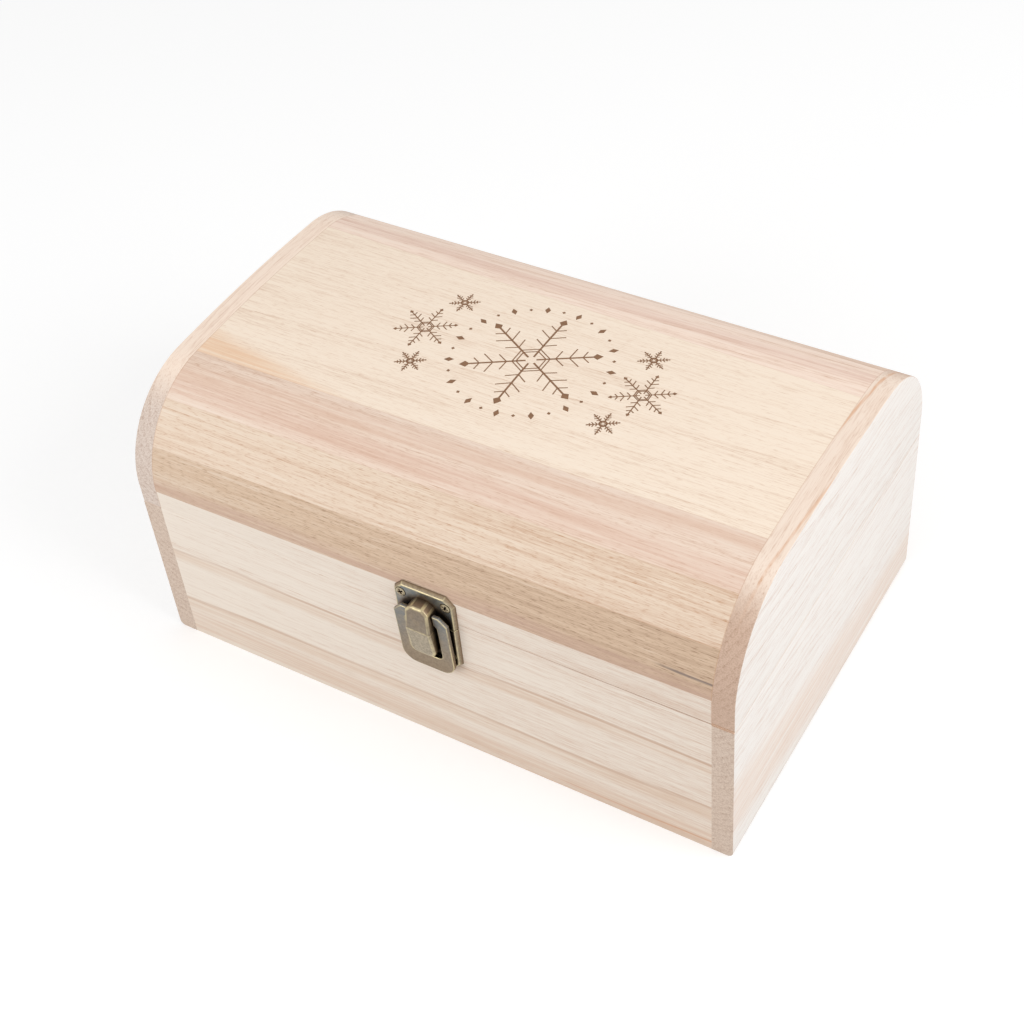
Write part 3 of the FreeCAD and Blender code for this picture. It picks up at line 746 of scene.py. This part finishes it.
class LidOutline:
    """The lid's outline, measured along its surface from the front edge to the back edge."""

    def __init__(self):
        wood = settings().wood
        low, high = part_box("lid_left_end")
        self.flat = wood.lid_flat
        self.depth = high.y
        self.bottom = low.z
        self.radius = wood.shoulder_radius
        self.shoulder = (high.y - wood.shoulder_radius, low.z + wood.lid_flat)
        self.crown_radius = wood.crown_radius
        self.crown_z = high.z - wood.crown_radius
        self.meet = atan2(self.shoulder[1] - self.crown_z, self.shoulder[0])
        self.shoulder_end = wood.lid_flat + self.radius * self.meet
        self.half = self.shoulder_end + self.crown_radius * (pi / 2 - self.meet)

    def point(self, run, x, depth=0):
        """The point at a length along the outline, and that deep under it."""
        side = -1 if run <= self.half else 1
        run = min(run, 2 * self.half - run)
        if run <= self.flat:
            return Vector((x, side * (self.depth - depth), self.bottom + run))
        if run <= self.shoulder_end:
            turn = (run - self.flat) / self.radius
            y, z = polar(self.shoulder, self.radius - depth, turn)
        else:
            turn = self.meet + (run - self.shoulder_end) / self.crown_radius
            y, z = polar((0, self.crown_z), self.crown_radius - depth, turn)
        return Vector((x, side * y, z))


def lid_end(outline, node):
    """An end board of the lid, cut to the outline, with its outer edge sanded round."""
    wood = settings().wood
    low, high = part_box(node)
    steps = round(2 * outline.half / wood.facet)
    points = [outline.point(2 * outline.half * i / steps, low.x) for i in range(steps + 1)]
    bm = prism(points, (high.x - low.x, 0, 0))
    outer = max(low.x, high.x, key=abs)
    eased(bm, wood.dome_ease, lambda p: abs(p.x - outer) < NEAR and p.z > outline.bottom + NEAR)
    return eased(bm, wood.saw_ease, lambda p: p.z < outline.bottom + NEAR, segments=2)


def lid_strip(outline, start, end):
    """A rail or stave: round outside, flat inside. Its joints lean by the given amounts from end to end."""
    wood = settings().wood
    x_low, x_high = (corner.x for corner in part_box("lid_crown_stave"))
    along, least_across = 28, 6
    across = max(least_across, round((end[0] - start[0]) / wood.facet))
    bm = bmesh.new()
    grain, rim = (bm.verts.layers.float_vector.new(name) for name in ("grain", "rim"))
    rows = []
    for i in range(along + 1):
        x = x_low + (x_high - x_low) * i / along
        first, last = (run + lean * x / x_high for run, lean in (start, end))
        places = [(first + (last - first) * j / across, 0) for j in range(across + 1)]
        places += [(last, wood.stave_thickness), (first, wood.stave_thickness)]
        row = []
        for run, depth in places:
            v = bm.verts.new(outline.point(run, x, depth))
            v[grain] = (x, run, -depth)
            v[rim] = (run - first, last - run, min(x - x_low, x_high - x))
            row.append(v)
        rows.append(row)
    for left, right in zip(rows, rows[1:]):
        for k in range(len(left)):
            bm.faces.new((left[k - 1], left[k], right[k], right[k - 1]))
    bm.faces.new(rows[0])
    bm.faces.new(rows[-1])
    return facing_out(bm)


class BOX_OT_lid_ends(bpy.types.Operator):
    """Makes the two end boards of the lid"""
    bl_idname = "keepsake_box.lid_ends"
    bl_label = "Lid ends"

    def execute(self, context):
        colours = settings().colours
        outline = LidOutline()
        left, right = end_planks()
        # The lid's left edge is painted lighter against the shade on that end
        left = left._replace(edge=colours.left_edge_painted_light, end=colours.left_end_grain)
        amber = tuple(Streak("d9985f", through, width, strength, lean=0.08, deep=True)
                      for through, width, strength in ((-12.3, 1.1, 0.55), (0.8, 1, 0.35)))
        right = right._replace(streaks=amber, end=colours.shoulder_end)
        for node, board in (("lid_left_end", left), ("lid_right_end", right)):
            bm = drawn(lid_end(outline, node), outline.bottom, -settings().wood.seam_draw, END_TIGHT)
            pale_board(node, bm, "lid", board, ALONG_Y, outline.bottom)
        return {"FINISHED"}


class BOX_OT_lid_staves(bpy.types.Operator):
    """Makes the rails and staves of the lid"""
    bl_idname = "keepsake_box.lid_staves"
    bl_label = "Lid staves"

    def execute(self, context):
        wood, colours = settings().wood, settings().colours
        outline = LidOutline()
        whole = 2 * outline.half
        widths = (wood.rail_height, wood.corner_stave_width, wood.shoulder_stave_width, wood.haunch_stave_width)
        joints = [sum(widths[:i]) for i in range(1, len(widths) + 1)]
        runs = [(0, 0)] + [(run, wood.joint_lean) for run in joints]
        runs += [(whole - run, -2 * wood.joint_lean) for run in reversed(joints)] + [(whole, 0)]
        # Drifts above zero paint shade towards the right, and those below zero paint light there
        pale = Board(colours.pale, ring=9, pith=(210, 40), rings=0.25, bands=0.06, stripes=0.12, drift=1, seed=1)
        brown = Board(colours.brown, ring=4, pith=(150, 30), rings=0.45, bands=0.12, stripes=0.2, drift=1, seed=11)
        tan = Board(colours.tan, ring=3.6, pith=(0, 20), rings=0.62, bands=0.2, stripes=0.26, lean=-0.02, drift=1,
                    seed=12)
        pink = Board(colours.pink, ring=5, pith=(130, 40), rings=0.42, bands=0.14, stripes=0.22, fibres=0.18,
                     lean=-0.03, drift=-0.2, seed=13)
        cream = Board(colours.cream, ring=18, pith=(250, 70), rings=0.42, bands=0.06, stripes=0.12, fibres=0.14,
                      lean=-0.06, drift=-0.1, seed=14)
        mauve = (Streak("dcb6a1", 66, 7, 0.56, lean=-0.02), Streak("e2c0aa", 78, 6, 0.6, lean=0.01))
        orange = (Streak("eec5a0", 63, 14, 0.75, lean=-0.25),)
        dusky = (Streak("c7a594", 13, 7, 0.6, lean=0.014), Streak("6f6464", 22.7, 0.9, 0.75, start=112))
        blush = (Streak("dbb3a2", 196, 6, 0.4, lean=-0.05),)
        strips = (
            ("lid_front_rail", "pale_paulownia", pale),
            ("lid_front_corner_stave", "brown_paulownia",
             brown._replace(pores=0.6, grain=colours.brown_grain, streaks=dusky)),
            ("lid_front_shoulder_stave", "tan_paulownia", tan._replace(pores=0.45)),
            ("lid_front_haunch_stave", "pink_paulownia", pink._replace(streaks=mauve, pores=0.35)),
            ("lid_crown_stave", "cream_paulownia", cream._replace(streaks=orange, pores=0.25)),
            ("lid_back_haunch_stave", "pink_paulownia",
             pink._replace(colour=colours.rose, ring=6, streaks=blush, seed=15)),
            ("lid_back_shoulder_stave", "brown_paulownia", brown._replace(colour=colours.pink, seed=16)),
            ("lid_back_corner_stave", "tan_paulownia", tan._replace(pith=(180, 40), seed=17)),
            ("lid_back_rail", "pale_paulownia", pale._replace(seed=2)),
        )
        for (node, slot, board), start, end in zip(strips, runs, runs[1:]):
            bm = drawn(lid_strip(outline, start, end), outline.bottom, -wood.seam_draw)
            piece(node + "_wood", bm, "lid", slot, paulownia(node + "_paulownia", board), node)
        return {"FINISHED"}


# Ornament

def flake(centre, radius, line, fine):
    """Strokes and lozenges of a six-armed snowflake, as (points, width), where no width means a filled shape."""
    # Where along an arm its branches start, and how long they are, as shares of the arm
    branch_shares = ((0.36, 0.2), (0.56, 0.24), (0.76, 0.15))
    # Corners of the lozenge at an arm's tip: the share of the arm and the turn in degrees
    tip_shares = ((0.9, 0), (0.97, 4), (1.06, 0), (0.97, -4))
    turns = [radians(60 * k + 30) for k in range(6)]
    branch_turn = radians(58)
    shapes = []
    for turn in turns:
        shapes.append(([polar(centre, radius * share, turn) for share in (0.08, 0.93)], line))
        for start_share, length_share in branch_shares:
            foot = polar(centre, radius * start_share, turn)
            for side in (-1, 1):
                tip = polar(foot, radius * length_share, turn + side * branch_turn)
                shapes.append(([foot, tip], fine))
        shapes.append(([polar(centre, radius * share, turn + radians(step)) for share, step in tip_shares], None))
    for share in (0.22, 0.28):
        corners = [polar(centre, radius * share, turn) for turn in turns]
        shapes.append((corners + [corners[0]], fine))
    return shapes


def wreath(centre, radius, line):
    """A ring of upright lozenges and dots round a snowflake."""
    shapes = []
    count = 30
    for k in range(count):
        turn = 2 * pi * k / count
        out, along = (cos(turn), sin(turn)), (-sin(turn), cos(turn))
        long, wide = (2.6 * line, 1.5 * line) if k % 2 else (line, line)
        shapes.append(([tuple(centre[i] + (radius + a) * out[i] + b * along[i] for i in (0, 1))
                        for a, b in ((long, 0), (0, wide), (-long, 0), (0, -wide))], None))
    return shapes


def stroke_rows(points, width):
    """Pairs of points on both sides of a line, close enough together to follow the crown."""
    step = 3 * MM
    line = [Vector(points[0])]
    for a, b in zip(points, points[1:]):
        a, b = Vector(a), Vector(b)
        count = max(1, ceil((b - a).length / step))
        line += [a + (b - a) * i / count for i in range(1, count + 1)]
    closed = (line[0] - line[-1]).length < width / 4
    rows = []
    for i, p in enumerate(line):
        before = line[i - 1] if i else (line[-2] if closed else None)
        after = line[i + 1] if i + 1 < len(line) else (line[1] if closed else None)
        ways = [w.normalized() for w in (p - before if before else None, after - p if after else None) if w]
        way = sum(ways, Vector((0, 0))).normalized()
        side = Vector((-way.y, way.x)) * width / 2 / max(0.5, way.dot(ways[0]))
        rows.append((p - side, p + side))
    return rows


class BOX_OT_ornament(bpy.types.Operator):
    """Makes the burnt snowflake ornament on the crown"""
    bl_idname = "keepsake_box.ornament"
    bl_label = "Ornament"

    def execute(self, context):
        sizes = settings().engraving
        outline = LidOutline()
        middle = (0, 0)
        shapes = flake(middle, sizes.flake_radius, sizes.line, sizes.fine_line)
        shapes += wreath(middle, sizes.wreath_radius, sizes.line)
        # On each side, one small flake and two half as large, in shares of the spacing outwards and up
        for side in (-1, 1):
            for reach, rise, share in ((1, 0, 1), (0.88, 0.42, 0.5), (0.88, -0.42, 0.5)):
                spot = (side * sizes.flake_spacing * reach, rise * sizes.flake_spacing)
                shapes += flake(spot, sizes.small_flake_radius * share, sizes.fine_line, sizes.fine_line * 0.9)
        bm = bmesh.new()

        def on_crown(p):
            run = outline.half + sizes.centre_run + p[1]
            return bm.verts.new(outline.point(run, sizes.centre_x + p[0], -sizes.proud))

        for points, width in shapes:
            if width is None:
                bm.faces.new([on_crown(p) for p in points])
                continue
            rows = [[on_crown(p) for p in row] for row in stroke_rows(points, width)]
            for (a, b), (c, d) in zip(rows, rows[1:]):
                bm.faces.new((a, b, d, c))
        facing_out(bm)
        sunk = bmesh.ops.extrude_face_region(bm, geom=bm.faces[:], use_keep_orig=True)["geom"]
        down = Vector((0, 0, -sizes.burn_depth - sizes.proud))
        bmesh.ops.translate(bm, verts=[v for v in sunk if isinstance(v, bmesh.types.BMVert)], vec=down)
        piece("crown_ornament", facing_out(bm), "lid", "cream_paulownia", charred_wood())
        return {"FINISHED"}


# Clasp

class ClaspFrame:
    """Places by the clasp: across from its middle, out from the wood and up from the saw cut."""

    def __init__(self):
        plate_low, plate_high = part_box("clasp_ring_plate")
        hook_low, hook_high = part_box("clasp_hook_plate")
        self.middle = (plate_low.x + plate_high.x) / 2
        self.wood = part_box("front_panel")[0].y
        self.seam = (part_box("front_panel")[1].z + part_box("lid_front_rail")[0].z) / 2
        self.half_width = (plate_high.x - plate_low.x) / 2
        self.split = plate_low.z - self.seam
        self.top = plate_high.z - self.seam
        self.hook_top = hook_high.z - self.seam
        self.foot = hook_low.z - self.seam
        self.reach = self.wood - plate_low.y

    def points(self, right, out):
        """Points of an outline, given by its right half, at a distance from the wood."""
        return [Vector((self.middle + across, self.wood - out, self.seam + rise))
                for across, rise in mirrored(right)]

    def stain(self, root, reach, face=0):
        """A darkening that changes from the root of a casting at the wood to its face: stain, and painted shade
        where the casting meets the wood.
        """
        return lambda p: face + (root - face) * (1 - (self.wood - p.y) / reach)


def mirrored(right):
    """An outline from its right half."""
    return right + [(-across, rise) for across, rise in reversed(right)]


def clasp_plate(place, split, far):
    """A plate with sloping sides and two cut corners."""
    sizes = settings().clasp
    side = copysign(1, far - split)
    outlines = []
    for out, inset in ((0, 0), (sizes.plate_thickness, sizes.plate_bevel)):
        half = place.half_width - inset
        end = far - side * inset
        corner = sizes.plate_corner - inset * (2 - sqrt(2))
        outlines.append(place.points([(half, split), (half, end - side * corner), (half - corner, end)], out))
    bm = between(*outlines)
    eased(bm, sizes.cast_edge, lambda p: p.y < place.wood - NEAR, segments=4)
    rubbed(bm, sizes.wear_and_highlight_band / 2)
    face = place.wood - sizes.plate_thickness + NEAR
    face_cast = 0.9
    # Darker towards the wood: stain, and painted shade where the plate meets it
    return stained_and_shaded(bm, place.stain(root=0.6, reach=sizes.plate_thickness),
                   lambda p: face_cast if p.y < face else 0)


def leaning_block(place, right, back, crest, lean):
    """A block with bright rounded edges, whose face leans in by as much as a function of its height says."""
    sizes = settings().clasp
    bm = prism(place.points(right, back), (0, back - place.reach, 0))
    front = place.wood - back - NEAR
    for v in bm.verts:
        if v.co.y < front:
            v.co.y += lean(v.co.z - place.seam)
    for width, at_crest in ((sizes.block_edge, False), (sizes.cast_edge / 2, True)):
        eased(bm, width, lambda p: p.y < front and (abs(p.z - place.seam - crest) < NEAR) == at_crest, segments=4)
    return rubbed(bm, sizes.wear_and_highlight_band)


def knuckle_block(place):
    """The block that the ring turns in."""
    sizes = settings().clasp
    top = place.split + sizes.knuckle_height
    sole = place.hook_top + sizes.crest_gap
    shoulder = top - sizes.knuckle_corner
    shoulder_share = (shoulder - place.split) / sizes.knuckle_height
    narrowing = (sizes.block_width - sizes.knuckle_top_width) * shoulder_share
    right = [
        (sizes.block_width / 2, sole),
        ((sizes.block_width - narrowing) / 2, shoulder),
        (sizes.knuckle_top_width / 2 - sizes.knuckle_corner, top),
    ]
    bm = leaning_block(place, right, sizes.plate_thickness / 2, sole,
                       lambda rise: sizes.knuckle_lean * (rise - place.split) / sizes.knuckle_height)
    cast = 0.45
    # Darker over the whole face and most at the root: stain, and painted shade where the block meets the plate
    return stained_and_shaded(bm, place.stain(root=0.95, face=0.32, reach=place.reach - sizes.knuckle_lean), lambda p: cast)


def hook_block(place):
    """The block that the ring drops over, with a nose at its foot."""
    sizes = settings().clasp
    foot = place.hook_top - sizes.hook_height
    root = sizes.plate_thickness / 2
    half = sizes.block_width / 2
    nose_back = place.reach - sizes.hook_lean - sizes.hook_nose
    corner = (half - sizes.hook_corner, foot + sizes.hook_corner)
    right = [(half, place.hook_top)] + arc(corner, sizes.hook_corner, 0, -90, 7)
    face = leaning_block(place, right, nose_back, place.hook_top,
                         lambda rise: sizes.hook_lean * (place.hook_top - rise) / sizes.hook_height)
    heel = [(half, place.hook_top), (half, foot + sizes.hook_undercut + sizes.hook_corner / 2),
            (half - sizes.hook_corner / 2, foot + sizes.hook_undercut)]
    stem = prism(place.points(heel, root), (0, root - nose_back, 0))
    # Darker towards the root: stain, and painted shade where the block meets the plate
    return stained_and_shaded(joined(face, stem), place.stain(root=0.6, reach=nose_back))


def ring_outline():
    """The ring's outline about its pivot: two arms down to a wide bar, with the way in for the hook."""
    sizes = settings().clasp
    inner = sizes.block_width / 2 + sizes.ring_side_gap
    outer = inner + sizes.ring_arm
    reach = sizes.ring_reach + sizes.ring_bar
    outer_centre = (outer - sizes.ring_outer_radius, sizes.ring_outer_radius - reach)
    inner_centre = (inner - sizes.ring_inner_radius, sizes.ring_inner_radius - sizes.ring_reach)
    right = arc(outer_centre, sizes.ring_outer_radius, -90, 0, 8)
    right += [
        (outer, sizes.ring_ear_rise - sizes.ring_ear_corner),
        (outer - sizes.ring_ear_corner, sizes.ring_ear_rise),
        (sizes.ring_ear_inner, sizes.ring_ear_rise),
        (sizes.ring_ear_inner, -sizes.ring_ear_rise),
        (inner, sizes.ring_ear_inner - inner - sizes.ring_ear_rise),
    ]
    right += arc(inner_centre, sizes.ring_inner_radius, 0, -90, 5)
    return mirrored(right)


class BOX_OT_clasp(bpy.types.Operator):
    """Makes the two clasp plates with their blocks, and the ring"""
    bl_idname = "keepsake_box.clasp"
    bl_label = "Clasp"

    def execute(self, context):
        sizes = settings().clasp
        place = ClaspFrame()
        bronze = bronze_plating()
        upper = joined(clasp_plate(place, place.split, place.top), knuckle_block(place))
        lower = joined(clasp_plate(place, place.hook_top, place.foot), hook_block(place))
        piece("ring_plate_casting", upper, "lid", "antique_bronze", bronze, "clasp_ring_plate")
        piece("hook_plate_casting", lower, "base", "antique_bronze", bronze, "clasp_hook_plate")
        pivot = next(Vector(j["pos_m"]) for j in frame["joints"] if j["name"] == "ring_swing")
        half = sizes.ring_thickness / 2
        reach = sizes.ring_reach + sizes.ring_bar
        ring = prism([(across, half, rise) for across, rise in ring_outline()], (0, -sizes.ring_thickness, 0))
        eased(ring, sizes.cast_edge, lambda p: abs(abs(p.y) - half) < NEAR, segments=4)
        rubbed(ring, sizes.wear_and_highlight_band / 3)
        # The ring is darker towards its bar
        pivot_dark, bar_dark = 0.06, 0.41
        stained_and_shaded(ring, lambda p: pivot_dark + (pivot_dark - bar_dark) * p.z / reach,
                lambda p: 1 + p.z / sizes.ring_reach)
        room = place.wood - pivot.y - half - sizes.plate_thickness - sizes.ring_rest_gap
        ring.transform(Matrix.Translation(pivot) @ Matrix.Rotation(asin(room / reach), 4, "X"))
        piece("clasp_ring_casting", ring, "clasp_ring", "antique_bronze", bronze, "clasp_ring")
        return {"FINISHED"}


# Screws and hinges

def screw_head(radius, height):
    """A domed head with a cross recess, standing on its seat along +Z. Its cross and the ring round it are painted
    dark: stain, and painted shadow.
    """
    sizes = settings().clasp
    rings, turns = 16, 64
    arm, reach = sizes.cross_width / 2, sizes.cross_length / 2
    recess_slope, gap_floor = 0.25 * MM, 0.04 * MM
    # The head is rubbed bright, most at its rim, where a highlight is painted in too
    middle_wear_and_highlight, rim_wear_and_highlight = 0.2, 0.7
    bm = bmesh.new()
    stain, wear_and_highlight = (bm.verts.layers.float.new(name) for name in ("recess", "wear_and_highlight"))

    def top(u, v):
        dome = height - (height - sizes.screw_rim) * (u * u + v * v) / radius ** 2
        to_cross = min(max(abs(u) - arm, abs(v) - reach), max(abs(v) - arm, abs(u) - reach))
        sunk = min(1, max(0, 0.5 - to_cross / recess_slope))
        point = bm.verts.new((u, v, dome - sizes.cross_depth * sunk))
        bright = middle_wear_and_highlight + (rim_wear_and_highlight - middle_wear_and_highlight) * (hypot(u, v) / radius) ** 4
        point[wear_and_highlight] = bright * (1 - sunk)
        # The cross is dark: stain, and painted shade in it
        point[stain] = sunk
        return point

    middle = top(0, 0)
    rows = []
    for i in range(1, rings + 1):
        rows.append([top(*polar((0, 0), radius * i / rings, 2 * pi * j / turns)) for j in range(turns)])
    seat_share = 1 + sizes.screw_seat / radius
    # The seat round the head is a dark ring: painted shadow of the gap, with stain
    for grown, rise in ((1, gap_floor), (seat_share, gap_floor), (seat_share, 0)):
        rows.append([bm.verts.new((v.co.x * grown, v.co.y * grown, rise)) for v in rows[rings - 1]])
        for v in rows[-1]:
            v[stain] = 1
    for j in range(turns):
        bm.faces.new((middle, rows[0][j - 1], rows[0][j]))
        for near, far in zip(rows, rows[1:]):
            bm.faces.new((near[j - 1], far[j - 1], far[j], near[j]))
    bm.faces.new(rows[-1])
    return facing_out(bm)


def islands(node):
    """Lowest and highest corner of each separate solid in a node that are set apart along X."""
    points = sorted((v.co for v in frame["nodes"][node].data.vertices), key=lambda p: p.x)
    groups = [[points[0]]]
    for p in points[1:]:
        if p.x - groups[-1][-1].x > 1 * MM:
            groups.append([])
        groups[-1].append(p)
    return [(Vector(map(min, *g)), Vector(map(max, *g))) for g in groups]


class BOX_OT_screws(bpy.types.Operator):
    """Makes the screw heads of the clasp and the hinges"""
    bl_idname = "keepsake_box.screws"
    bl_label = "Screws"

    def execute(self, context):
        groups = (("ring_plate_screws", "lid", -1), ("hook_plate_screws", "base", -1),
                  ("hinge_lid_screws", "lid", 1), ("hinge_base_screws", "base", 1))
        head_height = settings().clasp.screw_proud
        first_turn, next_turn = radians(25), radians(47)
        for node, body, outward in groups:
            heads = []
            for k, (low, high) in enumerate(islands(node)):
                face = (high.y if outward > 0 else low.y) - outward * head_height
                seat = Vector(((low.x + high.x) / 2, face, (low.z + high.z) / 2))
                head = screw_head((high.z - low.z) / 2, head_height)
                spin = Matrix.Rotation(first_turn + next_turn * k, 4, "Z")
                tilt = Matrix.Rotation(-outward * pi / 2, 4, "X")
                head.transform(Matrix.Translation(seat) @ tilt @ spin)
                heads.append(head)
            piece(node + "_heads", joined(*heads), body, "antique_bronze", bronze_plating(), node)
        return {"FINISHED"}


class BOX_OT_hinges(bpy.types.Operator):
    """Gives the hinge leaves and pins their bronze finish"""
    bl_idname = "keepsake_box.hinges"
    bl_label = "Hinges"

    def execute(self, context):
        for side, part in product(("left", "right"), ("base_leaf", "lid_leaf", "pin")):
            for material_slot in frame["nodes"]["%s_hinge_%s" % (side, part)].material_slots:
                material_slot.material = bronze_plating()
        return {"FINISHED"}


# Stage

WHITE = (1, 1, 1, 1)
PAPER = (0.8, 0.8, 0.8, 1)


class BOX_OT_stage(bpy.types.Operator):
    """Makes the floor, the light and the camera"""
    bl_idname = "keepsake_box.stage"
    bl_label = "Stage"

    def execute(self, context):
        stage = settings().stage
        scene = context.scene
        scene.view_settings.view_transform = "Standard"
        self.make_floor()
        self.make_world(scene, stage)
        self.make_lamps(stage)
        self.make_camera(scene, stage)
        return {"FINISHED"}

    def make_floor(self):
        """A pale floor that shows white to the camera and in the metal, and keeps the box's shadow."""
        reach, camera_lift = 6, 0.3
        mesh = bpy.data.meshes.new("floor")
        mesh.from_pydata([(-reach, -reach, 0), (reach, -reach, 0), (reach, reach, 0), (-reach, reach, 0)], [],
                         [(0, 1, 2, 3)])
        floor = placed("floor", mesh)
        material, tree, shader = new_material("white_paper_sweep")
        tree.nodes.remove(shader)
        path = add(tree, "LightPath").node.outputs
        mirrored_ray = maths(tree, "MAXIMUM", path["Is Glossy Ray"], path["Is Transmission Ray"])
        lift = maths(tree, "MULTIPLY", path["Is Camera Ray"], camera_lift)
        paper = add(tree, "BsdfDiffuse", {"Color": PAPER})
        glow = add(tree, "Emission", {"Color": WHITE, "Strength": lift})
        lit = add(tree, "AddShader", {0: paper, 1: glow})
        white = add(tree, "Emission", {"Color": WHITE, "Strength": 1})
        surface = add(tree, "MixShader", {0: mirrored_ray, 1: lit, 2: white})
        feed(tree, tree.nodes["Material Output"], {"Surface": surface})
        mesh.materials.append(material)

    def make_world(self, scene, stage):
        """Even light from all sides, which shows as white to the camera and in the metal."""
        world = bpy.data.worlds.new("studio")
        scene.world = world
        world.use_nodes = True
        tree = world.node_tree
        tree.nodes.remove(tree.nodes["Background"])
        path = add(tree, "LightPath").node.outputs
        seen = maths(tree, "MAXIMUM", path["Is Camera Ray"], path["Is Glossy Ray"])
        seen = maths(tree, "MAXIMUM", seen, path["Is Transmission Ray"])
        light, white = (add(tree, "Background", {"Color": WHITE, "Strength": power}) for power in (stage.sky, 1))
        surface = add(tree, "MixShader", {0: seen, 1: light, 2: white})
        feed(tree, tree.nodes["World Output"], {"Surface": surface})

    def make_lamps(self, stage):
        """Two large soft lamps."""
        size = 0.8
        for name, place, power in (("key", (1, 0, 0.75), stage.key), ("fill", (-0.585, -1.04, 0.52), stage.fill)):
            light = bpy.data.lights.new(name, "AREA")
            light.size = size
            light.energy = power
            lamp = placed(name, light)
            lamp.location = place
            lamp.rotation_euler = (-Vector(place)).to_track_quat("-Z", "Y").to_euler()

    def make_camera(self, scene, stage):
        """A camera at the viewing angle, turned about its own axis by the roll."""
        az, el = stage.azimuth, stage.elevation
        back = Vector((sin(az) * cos(el), -cos(az) * cos(el), sin(el)))
        level = (-back).cross(Vector((0, 0, 1))).normalized()
        upright = level.cross(-back)
        right = level * cos(stage.roll) + upright * sin(stage.roll)
        up = upright * cos(stage.roll) - level * sin(stage.roll)
        data = bpy.data.cameras.new("camera")
        data.lens = stage.focal_length
        data.sensor_width = 36
        camera = placed("camera", data)
        turn = Matrix((right, up, back)).transposed().to_4x4()
        camera.matrix_world = Matrix.Translation(Vector(stage.target) + back * stage.distance) @ turn
        scene.camera = camera


OPERATORS = (
    BOX_OT_base_walls,
    BOX_OT_bottom_board,
    BOX_OT_lid_ends,
    BOX_OT_lid_staves,
    BOX_OT_ornament,
    BOX_OT_clasp,
    BOX_OT_screws,
    BOX_OT_hinges,
    BOX_OT_stage,
)


class BOX_PT_panel(bpy.types.Panel):
    """Lists the pieces of the box"""
    bl_idname = "BOX_PT_keepsake_box"
    bl_label = "Keepsake box"
    bl_space_type = "VIEW_3D"
    bl_region_type = "UI"
    bl_category = "Keepsake box"

    def draw(self, context):
        for operator in OPERATORS:
            self.layout.operator(operator.bl_idname)
        for group in ("wood", "clasp", "engraving", "colours", "stage"):
            box = self.layout.box()
            sizes = getattr(context.scene.keepsake_box, group)
            for name in sizes.__annotations__:
                box.prop(sizes, name)


CLASSES = (WoodSizes, ClaspSizes, EngravingSizes, BoxColours, StageSettings, BoxSettings, *OPERATORS, BOX_PT_panel)


def register():
    """Adds the classes and the settings."""
    for cls in CLASSES:
        bpy.utils.register_class(cls)
    bpy.types.Scene.keepsake_box = PointerProperty(type=BoxSettings)


def unregister():
    """Takes the settings and the classes away."""
    del bpy.types.Scene.keepsake_box
    for cls in reversed(CLASSES):
        bpy.utils.unregister_class(cls)


def main():
    """Makes every piece and the stage."""
    register()
    for operator in OPERATORS:
        module, name = operator.bl_idname.split(".")
        getattr(getattr(bpy.ops, module), name)()


if __name__ == "__main__":
    main()
